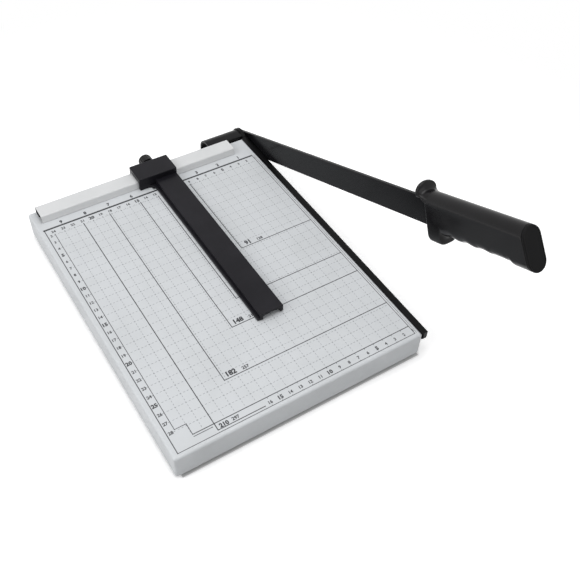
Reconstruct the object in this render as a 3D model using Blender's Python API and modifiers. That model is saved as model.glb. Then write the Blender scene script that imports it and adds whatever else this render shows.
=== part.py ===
"""Guillotine paper cutter: a sheet-metal board with a swinging blade arm and a sliding paper gauge.

All lengths are in metres. X runs to the right, towards the blade, Y away from the user, and Z up.
Places are measured from the cut line (X), the foot of the guide rail (Y) and the top of the board (Z).
The arm is drawn level in its own frame, where "along" runs from the pivot to the handle and
"across" runs up, square to the arm. At the end the whole cutter is moved so that the middle of its
footprint, at the height of the table, is the origin.
"""

import math

import bmesh
import bpy
import numpy as np
from mathutils import Euler, Matrix, Vector

# Clearances and cutters
GAP = 0.0003  # left between pieces that seat on each other or pass through each other
OVERRUN = 0.0010  # how far a cutter runs past what it cuts
WELD = 0.000001  # points closer than this are one point

# Board: a tray folded from sheet steel, open underneath, with lips turned in along the table
TRAY_LEFT = 0.2533  # cut line to the outside of the left wall
TRAY_RIGHT = 0.0040  # cut line to the outside of the right wall
TRAY_FRONT = 0.3040  # rail foot to the outside of the front wall
TRAY_BACK = 0.0220  # rail foot to the outside of the back wall
TRAY_HEIGHT = 0.0275
TRAY_SHEET = 0.0010
TRAY_FOLD_RADIUS = 0.0025
TRAY_LIP = 0.0200

# Feet under the four corners
FOOT_RADIUS = 0.0075
FOOT_INSET = 0.0115  # wall to foot centre
FOOT_PROUD = 0.0025  # tray lip to table
FOOT_RIM_CHAMFER = 0.0005
FOOT_POCKET_RADIUS = 0.0036
FOOT_POCKET_DEPTH = 0.0014
FOOT_SCREW_RADIUS = 0.0013
FOOT_SCREW_HEAD_RADIUS = 0.0030
FOOT_SCREW_HEAD = 0.0009
FOOT_SCREW_STUB = 0.0020  # shown past the lip

# Fixed blade: an angle bar on the right wall, its lip over the board's rounded edge
LEDGER_THICKNESS = 0.0049
LEDGER_FACE = 0.0012  # cut line to the face that the arm passes
LEDGER_PROUD = 0.0010  # above the board
LEDGER_DROP = 0.0100  # below the board
LEDGER_LIP_REACH = 0.0023  # over the board, past the bar
LEDGER_CORNER_RADIUS = 0.0035  # lower front corner
LEDGER_FRONT = 0.3045
LEDGER_EAR_RADIUS = 0.0156
LEDGER_ARRIS = 0.0005
BLADE_SCREW_RADIUS = 0.0020
BLADE_SCREW_HEAD_RADIUS = 0.0030
BLADE_SCREW_HEAD = 0.0020
BLADE_SCREW_DROP = 0.0055  # below the board
BLADE_SCREW_SKIN = 0.0014  # left unbored under the bar's face
BLADE_SCREW_SHARES = (0.08, 0.36, 0.64, 0.92)  # along the front-to-back run of the bar

# Pivot of the arm
PIVOT_BACK = 0.0310  # behind the rail foot
PIVOT_DROP = 0.0115  # below the board
BOLT_RADIUS = 0.0030
BOLT_HEAD_CORNER_RADIUS = 0.0060
BOLT_HEAD = 0.0040
BOLT_CHAMFER = 0.0006
WASHER_RADIUS = 0.0062
WASHER_THICKNESS = 0.0012
ARM_WASHER_INSET = 0.0032  # edge of the arm to the washer's rim
NUT_CORNER_RADIUS = 0.0058
NUT_HEIGHT = 0.0050
BOLT_END_INSET = 0.0020  # from the open end of the housing to the bolt's end
NUT_FROM_BOLT_END = 0.0015

# Pressure spring round the bolt
SPRING_MEAN_RADIUS = 0.0047
SPRING_WIRE_RADIUS = 0.0007
SPRING_CLOSED_STEP = 0.0019  # advance of the first and last curl
SPRING_CURLS = 9
SPRING_POINTS_PER_CURL = 10

# Pivot housing: a sheet cover behind the board, round over the pivot and open at its left end
HOUSING_LENGTH = 0.0415
HOUSING_SHEET = 0.0020
HOUSING_BARREL_RADIUS = 0.0144
HOUSING_BOTTOM = 0.0235  # below the board
HOUSING_FROM_LEDGER = 0.0003
HOUSING_SCREW_RADIUS = 0.0015
HOUSING_SCREW_HEAD_RADIUS = 0.0028
HOUSING_SCREW_HEAD = 0.0018
HOUSING_SCREW_DROP = 0.0195
HOUSING_SCREW_STUB = 0.0010
HOUSING_SCREW_SHARES = (0.22, 0.75)

# Guide rail: a folded channel, face down on the board
RAIL_LEFT = 0.2450
RAIL_RIGHT = 0.0257
RAIL_FRONT = 0.0013  # behind the print's zero
RAIL_DEPTH = 0.0185
RAIL_HEIGHT = 0.0078  # above the board
RAIL_SHEET = 0.0012
RAIL_BEND_RADIUS = 0.0026
RAIL_FOOT_FLANGE = 0.0085
RAIL_SCREW_RADIUS = 0.0015
RAIL_SCREW_HEAD_RADIUS = 0.0028
RAIL_SCREW_HEAD = 0.0018
RAIL_SCREW_STUB = 0.0006
RAIL_NUT_CORNER_RADIUS = 0.0031
RAIL_NUT_HEIGHT = 0.0024
RAIL_SCREW_SHARES = (0.06, 0.50, 0.94)

# Blade arm
ARM_REST_DEGREES = 23.6
ARM_THICKNESS = 0.0030
ARM_WIDTH = 0.0244
ARM_HOLE_CLEARANCE = 0.0003
EDGE_GRIND_HEIGHT = 0.0042  # of the ground bevel, up the outer face
EDGE_LAND = 0.0004  # left flat at the cutting edge
EDGE_START = 0.0220  # from the pivot
TANG_WIDTH = 0.0140
TANG_FROM_CAP = 0.0055  # tip to the spigot of the end cap

# Handle: hilt disc, lobe and grip, all leaning back by one slope
HANDLE_LEAN_SHARE = 0.23  # along per across
HILT_ALONG = 0.3346  # rear plane of the disc, on the arm's middle line
HILT_THICKNESS = 0.0036
HILT_HALF_WIDTH = 0.0100
HILT_HALF_HEIGHT = 0.0168
HILT_RISE = 0.0092  # centre of the disc above the arm's middle line
HILT_RIM_RADIUS = 0.0008
GRIP_HALF_WIDTH = 0.0085
GRIP_TOP = 0.0195
GRIP_BOTTOM_FRONT = 0.0155
GRIP_BOTTOM_WAIST = 0.0134
GRIP_POMMEL_BOTTOM = 0.0152
GRIP_LENGTH = 0.1115  # rear plane of the disc to the end of the cap
GROOVE_COUNT = 4
GROOVE_PERIOD = 0.0172
GROOVE_DEPTH = 0.0011
GROOVE_START = 0.0170  # from the rear plane of the disc
POMMEL_STEP = 0.0040
POMMEL_LENGTH = 0.0215
LOBE_LENGTH = 0.0130
LOBE_BOTTOM = 0.0230
LOBE_HALF_WIDTH = 0.0078
LOBE_EDGE_RADIUS = 0.0028
LOBE_FILLET = 0.0070
LOBE_FILLET_SHARES = (0.35, 0.70, 1.00)  # of its quarter turn
CAP_THICKNESS = 0.0020
CAP_RIM = 0.0008
CAP_DISH = 0.0004
CAP_SPIGOT_LENGTH = 0.0060
CAP_SPIGOT_INSET = 0.0026
HANDLE_SCREW_RADIUS = 0.0020
HANDLE_SCREW_HEAD_RADIUS = 0.0036
HANDLE_SCREW_HEAD = 0.0022
HANDLE_SCREW_SUNK = 0.0012  # top of the head below the grip's side
HANDLE_SCREW_FAR_SKIN = 0.0040
HANDLE_SCREW_RISE = 0.0020
HANDLE_SCREW_SHARES = (0.26, 0.68)  # along the grip

# Paper gauge: a head that straddles the rail and a flat arm over the board
GAUGE_HEAD_LEFT = 0.1405  # left of the cut line
GAUGE_HEAD_WIDTH = 0.0430
GAUGE_HEAD_FRONT = 0.0026  # in front of the rail foot
GAUGE_HEAD_BACK_WALL = 0.0024
GAUGE_HEAD_TOP = 0.0145  # above the board
GAUGE_HEAD_EDGE = 0.0009
GAUGE_ARM_WIDTH = 0.0250
GAUGE_ARM_REACH = 0.2165  # in front of the rail foot
GAUGE_ARM_TOP = 0.0080
GAUGE_ARM_WALL = 0.0033
GAUGE_ARM_ROOF_EDGE = 0.0041  # underside of the roof at the walls
GAUGE_ARM_ROOF_CROWN = 0.0056  # underside of the roof at the middle
GAUGE_ARM_EDGE = 0.0007
GAUGE_LEDGE_REACH = 0.0025  # foot strip left of the arm
GAUGE_LEDGE_HEIGHT = 0.0030
GAUGE_FLARE = 0.0060  # of the foot strip into the head
CLAMP_OFFSET = 0.0225  # head's left side to the clamp screw
CLAMP_HEIGHT = 0.0065  # above the board
CLAMP_BOSS_RADIUS = 0.0050
CLAMP_BOSS_LENGTH = 0.0027
CLAMP_PAD_RADIUS = 0.0028
CLAMP_PAD_THICKNESS = 0.0010
CLAMP_POCKET_DEPTH = 0.0022
INSERT_RADIUS = 0.0033
INSERT_LENGTH = 0.0023
LOCK_SCREW_RADIUS = 0.0020
KNOB_RADIUS = 0.0073
KNOB_LENGTH = 0.0090
KNOB_EDGE = 0.0010
KNOB_DISH_RADIUS = 0.0052
KNOB_DISH_DEPTH = 0.0010
KNOB_BORE_DEPTH = 0.0065

# Screws: shares of the head's radius and height, and of the shank's radius
SCREW_CROWN_SHARE = 0.67  # flat of the head's top
SCREW_RIM_SHARE = 0.33  # upright rim of the head
SCREW_POINT_SHARE = 0.33  # taper of the shank's end

# Facets of round shapes
FINE_SIDES = 32
SIDES = 20
SCREW_SIDES = 12
ARC_STEPS = 8
FOLD_SEGMENTS = 3

# Places that follow from the sizes above
LEDGER_INNER = LEDGER_FACE - LEDGER_THICKNESS
LEDGER_LIP_LEFT = LEDGER_INNER - LEDGER_LIP_REACH
HOUSING_RIGHT = LEDGER_INNER - HOUSING_FROM_LEDGER
HOUSING_LEFT = HOUSING_RIGHT - HOUSING_LENGTH
HOUSING_FRONT = TRAY_BACK + GAP
ARM_INNER = LEDGER_FACE + GAP
ARM_MIDDLE = ARM_INNER + ARM_THICKNESS / 2
ARM_OUTER = ARM_INNER + ARM_THICKNESS
RAIL_LENGTH = RAIL_LEFT - RAIL_RIGHT
RAIL_BACK = RAIL_FRONT + RAIL_DEPTH
ARM_WASHER_RADIUS = ARM_WIDTH / 2 - ARM_WASHER_INSET
TANG_LENGTH = GRIP_LENGTH - CAP_THICKNESS - CAP_SPIGOT_LENGTH - TANG_FROM_CAP
HILT_FRONT = HILT_ALONG + HILT_THICKNESS
GRIP_END = HILT_ALONG + GRIP_LENGTH
CHANNEL_FRONT = RAIL_FRONT - GAP
CHANNEL_BACK = RAIL_BACK + GAP
CHANNEL_TOP = RAIL_HEIGHT + GAP
GAUGE_BACK = CHANNEL_BACK + GAUGE_HEAD_BACK_WALL
GAUGE_HEAD_RIGHT = -GAUGE_HEAD_LEFT + GAUGE_HEAD_WIDTH
CLAMP_X = -GAUGE_HEAD_LEFT + CLAMP_OFFSET
BOSS_END = GAUGE_BACK + CLAMP_BOSS_LENGTH

# Outlines are drawn flat and turned to face along X, Y or Z
ALONG_X = Euler((math.pi / 2, 0, math.pi / 2))
ALONG_Y = Euler((math.pi / 2, 0, 0))
ALONG_Z = Euler((0, 0, 0))

# Turns that take local +Z to the named direction
FACING = {
    "+X": Euler((0, math.pi / 2, 0)),
    "-X": Euler((0, -math.pi / 2, 0)),
    "+Y": Euler((-math.pi / 2, 0, 0)),
    "-Y": Euler((math.pi / 2, 0, 0)),
    "+Z": Euler((0, 0, 0)),
    "-Z": Euler((math.pi, 0, 0)),
}


# Scene, collections and materials


def clear_scene():
    for item in list(bpy.data.objects):
        bpy.data.objects.remove(item)


def new_collection(name):
    collection = bpy.data.collections.new(name)
    bpy.context.scene.collection.children.link(collection)
    return collection


def material(name, colour, roughness, metallic=0.0):
    """A Principled BSDF material from a linear colour."""
    made = bpy.data.materials.new(name)
    made.use_nodes = True
    shader = made.node_tree.nodes["Principled BSDF"]
    shader.inputs["Base Color"].default_value = (*colour, 1.0)
    shader.inputs["Roughness"].default_value = roughness
    shader.inputs["Metallic"].default_value = metallic
    return made


def empty(name, parent=None, location=(0, 0, 0), rotation=(0, 0, 0)):
    made = bpy.data.objects.new(name, None)
    PARTS.objects.link(made)
    made.parent = parent
    made.location = location
    made.rotation_euler = rotation
    return made


def finish(name, mesh, parent, look, location=(0, 0, 0), rotation=(0, 0, 0), smooth=False):
    """Puts a mesh into the scene as a named piece of its parent, with a material of its own."""
    piece = bpy.data.objects.new(name, mesh)
    PARTS.objects.link(piece)
    piece.parent = parent
    piece.location = location
    piece.rotation_euler = rotation
    mesh.materials.clear()
    mesh.materials.append(material(f"{name}_{look[0]}", *look[1:]))
    if smooth:
        mesh.shade_smooth()
        mesh.set_sharp_from_angle(angle=math.radians(40))
    return piece


# Shapes


def arc(centre, radius, start, end, steps=ARC_STEPS):
    """Points of a circular arc about a centre, from one angle to another in degrees."""
    angles = np.radians(np.linspace(start, end, steps + 1))
    return [(centre[0] + radius * math.cos(a), centre[1] + radius * math.sin(a)) for a in angles]


def mesh_of(source):
    mesh = bpy.data.meshes.new("shape")
    source.to_mesh(mesh)
    source.free()
    return mesh


def box_mesh(low, high):
    """A box between two corners."""
    low, high = Vector(low), Vector(high)
    shape = bmesh.new()
    bmesh.ops.create_cube(shape, size=1)
    bmesh.ops.scale(shape, vec=high - low, verts=shape.verts)
    bmesh.ops.translate(shape, vec=(low + high) / 2, verts=shape.verts)
    return mesh_of(shape)


def curve_object(points, closed, half_depth, view, location):
    """A flat curve of straight pieces, extruded to both sides."""
    curve = bpy.data.curves.new("outline", "CURVE")
    curve.dimensions = "2D"
    curve.fill_mode = "BOTH" if closed else "NONE"
    curve.extrude = half_depth
    spline = curve.splines.new("POLY")
    spline.points.add(len(points) - 1)
    for point, (across, up) in zip(spline.points, points):
        point.co = (across, up, 0, 1)
    spline.use_cyclic_u = closed
    made = bpy.data.objects.new("outline", curve)
    PARTS.objects.link(made)
    made.location = location
    made.rotation_euler = view
    return made


def mesh_of_curve(made):
    """The curve as a welded mesh in world places; the curve is removed."""
    bpy.context.view_layer.update()
    graph = bpy.context.evaluated_depsgraph_get()
    mesh = bpy.data.meshes.new_from_object(made.evaluated_get(graph))
    shape = bmesh.new()
    shape.from_mesh(mesh)
    bmesh.ops.transform(shape, matrix=made.matrix_world, verts=shape.verts)
    bmesh.ops.remove_doubles(shape, verts=shape.verts, dist=WELD)
    bpy.data.objects.remove(made)
    bpy.data.meshes.remove(mesh)
    return mesh_of(shape)


def plate_mesh(points, low, high, view):
    """An outline as a plate between two planes square to its view."""
    middle = (low + high) / 2
    places = {"x": (middle, 0, 0), "y": (0, middle, 0), "z": (0, 0, middle)}
    axis = "x" if view == ALONG_X else "y" if view == ALONG_Y else "z"
    return mesh_of_curve(curve_object(points, True, (high - low) / 2, view, places[axis]))


def ribbon_mesh(points, low, high):
    """An open path in the YZ plane as a ribbon along X, to be thickened."""
    middle = ((low + high) / 2, 0, 0)
    return mesh_of_curve(curve_object(points, False, (high - low) / 2, ALONG_X, middle))


def turned(name, profile, facing, place, parent, look, sides=SIDES):
    """A turned piece. The profile's (radius, height) points run down its outer side."""
    shape = bmesh.new()
    ring = [shape.verts.new((radius, 0, height)) for radius, height in profile]
    for first, second in zip(ring, ring[1:]):
        shape.edges.new((first, second))
    if profile[0][0] > 0:
        shape.edges.new((ring[-1], ring[0]))
    piece = finish(name, mesh_of(shape), parent, look, place, FACING[facing])
    spin = piece.modifiers.new("Turn", "SCREW")
    spin.axis = "Z"
    spin.steps = sides
    spin.render_steps = sides
    spin.use_merge_vertices = True
    spin.merge_threshold = WELD
    spin.use_smooth_shade = True
    return piece


def ring_profile(inner, outer, thickness, chamfer=0):
    """A washer's section from its lower face up, its rim eased by the chamfer."""
    return [
        (outer - chamfer, thickness),
        (outer, thickness - chamfer),
        (outer, chamfer),
        (outer - chamfer, 0),
        (inner, 0),
        (inner, thickness),
    ] if chamfer else [(outer, thickness), (outer, 0), (inner, 0), (inner, thickness)]


def screw_profile(shank, length, head, head_height):
    """A pan-headed screw, its head's underside at zero and its shank below."""
    point = shank * SCREW_POINT_SHARE
    return [
        (0, head_height),
        (head * SCREW_CROWN_SHARE, head_height),
        (head, head_height * SCREW_RIM_SHARE),
        (head, 0),
        (shank, 0),
        (shank, -length + point),
        (shank - point, -length),
        (0, -length),
    ]


def stadium_ring(along, top, bottom, half_width, inset=0.0):
    """A leaning ring of the grip: a round top and bottom joined by straight sides."""
    radius = half_width - inset
    ring = []
    for centre, start in ((top - half_width, 0), (half_width - bottom, 180)):
        for x, across in arc((ARM_MIDDLE, centre), radius, start, start + 180):
            ring.append((x, -(along - HANDLE_LEAN_SHARE * across), across))
    return ring


def loft_mesh(rings):
    """A closed skin through rings of equally many points, capped at both ends."""
    shape = bmesh.new()
    rows = [[shape.verts.new(point) for point in ring] for ring in rings]
    count = len(rows[0])
    for first, second in zip(rows, rows[1:]):
        for index in range(count):
            after = (index + 1) % count
            shape.faces.new((first[index], first[after], second[after], second[index]))
    shape.faces.new(reversed(rows[0]))
    shape.faces.new(rows[-1])
    bmesh.ops.recalc_face_normals(shape, faces=shape.faces)
    return mesh_of(shape)


# Cuts and joins


def tool(mesh, target, operation, name):
    """Adds or takes away a mesh drawn in the target's parent frame."""
    cutter = bpy.data.objects.new(f"{target.name}_{name}", mesh)
    CUTTERS.objects.link(cutter)
    cutter.parent = target.parent
    cutter.hide_render = True
    cutter.display_type = "WIRE"
    work = target.modifiers.new(name, "BOOLEAN")
    work.operation = operation
    work.solver = "EXACT"
    work.object = cutter
    return cutter


def cut(target, mesh, name):
    return tool(mesh, target, "DIFFERENCE", name)


def join(target, mesh, name):
    return tool(mesh, target, "UNION", name)


def drill(target, holes, name="holes", sides=SCREW_SIDES):
    """Cuts round holes. Each is (start, direction, radius, depth) in the target's parent frame."""
    shape = bmesh.new()
    for start, direction, radius, depth in holes:
        turn = FACING[direction].to_matrix().to_4x4()
        middle = Vector(start) + turn @ Vector((0, 0, depth / 2))
        place = Matrix.Translation(middle) @ turn
        bmesh.ops.create_cone(
            shape, cap_ends=True, segments=sides, radius1=radius, radius2=radius, depth=depth, matrix=place
        )
    return cut(target, mesh_of(shape), name)


def ease(piece, width, segments=1, angle=30):
    """Rounds or chamfers the sharp edges of a piece."""
    bevel = piece.modifiers.new("Edges", "BEVEL")
    bevel.width = width
    bevel.segments = segments
    bevel.limit_method = "ANGLE"
    bevel.angle_limit = math.radians(angle)
    bevel.use_clamp_overlap = True
    return bevel


def thicken(piece, thickness):
    """Gives an open surface its sheet thickness, inside its drawn face."""
    wall = piece.modifiers.new("Sheet", "SOLIDIFY")
    wall.thickness = thickness
    wall.offset = -1
    wall.use_even_offset = True
    return wall


# Looks: name, linear colour, roughness, metallic
GREY_PAINT = ("grey_paint", (0.62, 0.63, 0.64), 0.45)
RAIL_PAINT = ("rail_paint", (0.68, 0.69, 0.70), 0.40)
BLACK_PAINT = ("black_paint", (0.012, 0.012, 0.013), 0.35)
BLACK_PLASTIC = ("black_plastic", (0.010, 0.010, 0.011), 0.30)
GAUGE_PLASTIC = ("gauge_plastic", (0.018, 0.018, 0.020), 0.38)
RUBBER = ("rubber", (0.010, 0.010, 0.010), 0.85)
ZINC = ("zinc", (0.55, 0.56, 0.58), 0.35, 1.0)
SPRING_STEEL = ("spring_steel", (0.30, 0.31, 0.33), 0.30, 1.0)
BRASS = ("brass", (0.72, 0.50, 0.20), 0.30, 1.0)


# Board


def foot_places():
    """Centres of the four feet, inset from the walls alike."""
    left = -TRAY_LEFT + FOOT_INSET
    right = -TRAY_RIGHT - FOOT_INSET
    front = -TRAY_FRONT + FOOT_INSET
    back = TRAY_BACK - FOOT_INSET
    return [(left, front), (right, front), (left, back), (right, back)]


def blade_screw_places():
    return [-LEDGER_FRONT + share * (LEDGER_FRONT + TRAY_BACK) for share in BLADE_SCREW_SHARES]


def rail_screw_places():
    return [-RAIL_LEFT + share * RAIL_LENGTH for share in RAIL_SCREW_SHARES]


def housing_screw_places():
    return [HOUSING_LEFT + share * HOUSING_LENGTH for share in HOUSING_SCREW_SHARES]


def rail_screw_y():
    return RAIL_BACK - RAIL_SHEET - (RAIL_FOOT_FLANGE - RAIL_SHEET) / 2


def tray_mesh():
    """The outer skin of the tray: a box without a bottom, its lower edges turned in as lips."""
    shape = bmesh.new()
    bmesh.ops.create_cube(shape, size=1)
    size = (TRAY_LEFT - TRAY_RIGHT, TRAY_FRONT + TRAY_BACK, TRAY_HEIGHT)
    bmesh.ops.scale(shape, vec=size, verts=shape.verts)
    bottom = min(shape.faces, key=lambda face: face.calc_center_median().z)
    bmesh.ops.delete(shape, geom=[bottom], context="FACES_ONLY")
    rim = [edge for edge in shape.edges if edge.is_boundary]
    grown = bmesh.ops.extrude_edge_only(shape, edges=rim)["geom"]
    for vert in (item for item in grown if isinstance(item, bmesh.types.BMVert)):
        vert.co.x -= math.copysign(TRAY_LIP, vert.co.x)
        vert.co.y -= math.copysign(TRAY_LIP, vert.co.y)
    middle = (-(TRAY_LEFT + TRAY_RIGHT) / 2, (TRAY_BACK - TRAY_FRONT) / 2, -TRAY_HEIGHT / 2)
    bmesh.ops.translate(shape, vec=middle, verts=shape.verts)
    bmesh.ops.recalc_face_normals(shape, faces=shape.faces)
    return mesh_of(shape)


def build_tray(root):
    tray = finish("base_tray", tray_mesh(), root, GREY_PAINT, smooth=True)
    ease(tray, TRAY_FOLD_RADIUS, FOLD_SEGMENTS)
    thicken(tray, TRAY_SHEET)
    wall = TRAY_SHEET + 2 * OVERRUN
    holes = []
    for x, y in foot_places():
        start = (x, y, -TRAY_HEIGHT - OVERRUN)
        holes.append((start, "+Z", FOOT_SCREW_RADIUS + GAP, wall))
    for y in blade_screw_places():
        start = (-TRAY_RIGHT + OVERRUN, y, -BLADE_SCREW_DROP)
        holes.append((start, "-X", BLADE_SCREW_RADIUS + GAP, wall))
    for x in rail_screw_places():
        holes.append(((x, rail_screw_y(), OVERRUN), "-Z", RAIL_SCREW_RADIUS + GAP, wall))
    for x in housing_screw_places():
        start = (x, TRAY_BACK + OVERRUN, -HOUSING_SCREW_DROP)
        holes.append((start, "-Y", HOUSING_SCREW_RADIUS + GAP, wall))
    drill(tray, holes)


def build_feet(root):
    """Each foot is a turned rubber ring with a pocket below for its screw's head."""
    height = FOOT_PROUD - GAP
    hole = FOOT_SCREW_RADIUS + GAP
    section = [
        (FOOT_RADIUS, 0),
        (FOOT_RADIUS, -height + FOOT_RIM_CHAMFER),
        (FOOT_RADIUS - FOOT_RIM_CHAMFER, -height),
        (FOOT_POCKET_RADIUS, -height),
        (FOOT_POCKET_RADIUS, -height + FOOT_POCKET_DEPTH),
        (hole, -height + FOOT_POCKET_DEPTH),
        (hole, 0),
    ]
    top = -TRAY_HEIGHT - GAP
    seat = top - height + FOOT_POCKET_DEPTH - GAP
    length = FOOT_PROUD - FOOT_POCKET_DEPTH + GAP + TRAY_SHEET + FOOT_SCREW_STUB
    screw = screw_profile(FOOT_SCREW_RADIUS, length, FOOT_SCREW_HEAD_RADIUS, FOOT_SCREW_HEAD)
    for number, (x, y) in enumerate(foot_places(), start=1):
        turned(f"rubber_foot_{number}", section, "+Z", (x, y, top), root, RUBBER)
        turned(f"foot_screw_{number}", screw, "-Z", (x, y, seat), root, ZINC, SCREW_SIDES)


# Fixed blade


def ledger_outline():
    """Side view of the bar: level from the front, then round the ear about the pivot."""
    pivot = (PIVOT_BACK, -PIVOT_DROP)
    top = math.degrees(math.asin((LEDGER_PROUD + PIVOT_DROP) / LEDGER_EAR_RADIUS))
    low = math.degrees(math.asin((PIVOT_DROP - LEDGER_DROP) / LEDGER_EAR_RADIUS))
    front, bottom = -LEDGER_FRONT, -LEDGER_DROP
    corner = (front + LEDGER_CORNER_RADIUS, bottom + LEDGER_CORNER_RADIUS)
    points = [(front, LEDGER_PROUD)]
    points += arc(corner, LEDGER_CORNER_RADIUS, 180, 270, FOLD_SEGMENTS)
    points += arc(pivot, LEDGER_EAR_RADIUS, 180 - low, 540 - top, 4 * ARC_STEPS)
    return points


def build_ledger(root):
    skin = plate_mesh(ledger_outline(), LEDGER_INNER, LEDGER_FACE, ALONG_X)
    bar = finish("fixed_blade", skin, root, BLACK_PAINT)
    ease(bar, LEDGER_ARRIS)
    low = (LEDGER_LIP_LEFT, -LEDGER_FRONT, GAP)
    high = (LEDGER_INNER + LEDGER_THICKNESS / 2, TRAY_BACK, LEDGER_PROUD - LEDGER_ARRIS)
    join(bar, box_mesh(low, high), "lip")
    depth = LEDGER_THICKNESS - BLADE_SCREW_SKIN + OVERRUN
    holes = []
    for y in blade_screw_places():
        start = (LEDGER_INNER - OVERRUN, y, -BLADE_SCREW_DROP)
        holes.append((start, "+X", BLADE_SCREW_RADIUS + GAP, depth))
    start = (LEDGER_INNER - OVERRUN, PIVOT_BACK, -PIVOT_DROP)
    holes.append((start, "+X", BOLT_RADIUS + GAP, LEDGER_THICKNESS + 2 * OVERRUN))
    drill(bar, holes)
    seat = -TRAY_RIGHT - TRAY_SHEET - GAP
    length = LEDGER_FACE - BLADE_SCREW_SKIN - GAP - seat
    screw = screw_profile(BLADE_SCREW_RADIUS, length, BLADE_SCREW_HEAD_RADIUS, BLADE_SCREW_HEAD)
    for number, y in enumerate(blade_screw_places(), start=1):
        place = (seat, y, -BLADE_SCREW_DROP)
        turned(f"blade_screw_{number}", screw, "-X", place, root, ZINC, SCREW_SIDES)


# Pivot housing, bolt and spring


def housing_outline(inset, below):
    """Section of the cover: flat front and top, a quarter barrel over the pivot, a straight back."""
    pivot = (PIVOT_BACK, -PIVOT_DROP)
    radius = HOUSING_BARREL_RADIUS - inset
    top = radius - PIVOT_DROP
    front = HOUSING_FRONT + inset
    bottom = -HOUSING_BOTTOM - below
    points = [(front, bottom)]
    points += [(PIVOT_BACK + radius, bottom)]
    points += arc(pivot, radius, 0, 90)
    points += [(front, top)]
    return points


def build_housing(root):
    skin = plate_mesh(housing_outline(0, 0), HOUSING_LEFT, HOUSING_RIGHT, ALONG_X)
    cover = finish("pivot_housing", skin, root, BLACK_PAINT, smooth=True)
    hollow = housing_outline(HOUSING_SHEET, OVERRUN)
    end = HOUSING_RIGHT - HOUSING_SHEET
    cut(cover, plate_mesh(hollow, HOUSING_LEFT - OVERRUN, end, ALONG_X), "hollow")
    bolt = (end - OVERRUN, PIVOT_BACK, -PIVOT_DROP)
    holes = [(bolt, "+X", BOLT_RADIUS + GAP, HOUSING_SHEET + 2 * OVERRUN)]
    for x in housing_screw_places():
        start = (x, HOUSING_FRONT - OVERRUN, -HOUSING_SCREW_DROP)
        holes.append((start, "+Y", HOUSING_SCREW_RADIUS + GAP, HOUSING_SHEET + 2 * OVERRUN))
    drill(cover, holes)
    seat = TRAY_BACK - TRAY_SHEET - GAP
    length = HOUSING_FRONT + HOUSING_SHEET + HOUSING_SCREW_STUB - seat
    screw = screw_profile(HOUSING_SCREW_RADIUS, length, HOUSING_SCREW_HEAD_RADIUS, HOUSING_SCREW_HEAD)
    for number, x in enumerate(housing_screw_places(), start=1):
        place = (x, seat, -HOUSING_SCREW_DROP)
        turned(f"housing_screw_{number}", screw, "-Y", place, root, ZINC, SCREW_SIDES)


def spring_points(start, length):
    """The helix's points: closed first and last curls, the rest spread evenly between."""
    last = SPRING_CURLS - 1
    free = length - 2 * SPRING_WIRE_RADIUS - 2 * SPRING_CLOSED_STEP
    open_step = free / (SPRING_CURLS - 2)
    points = []
    for index in range(SPRING_CURLS * SPRING_POINTS_PER_CURL + 1):
        turn = index / SPRING_POINTS_PER_CURL
        closed = min(turn, 1) + max(turn - last, 0)
        opened = min(max(turn - 1, 0), SPRING_CURLS - 2)
        x = start - SPRING_WIRE_RADIUS - closed * SPRING_CLOSED_STEP - opened * open_step
        angle = 2 * math.pi * turn
        points.append((x, SPRING_MEAN_RADIUS * math.cos(angle), SPRING_MEAN_RADIUS * math.sin(angle)))
    return points


def least_gap(points):
    """Least clear distance between stretches of the spring at least half a curl apart."""
    places = np.array(points)
    apart = np.linalg.norm(places[:, None] - places[None], axis=2)
    index = np.arange(len(places))
    far = np.abs(index[:, None] - index[None]) > SPRING_POINTS_PER_CURL / 2
    return apart[far].min() - 2 * SPRING_WIRE_RADIUS


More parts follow.
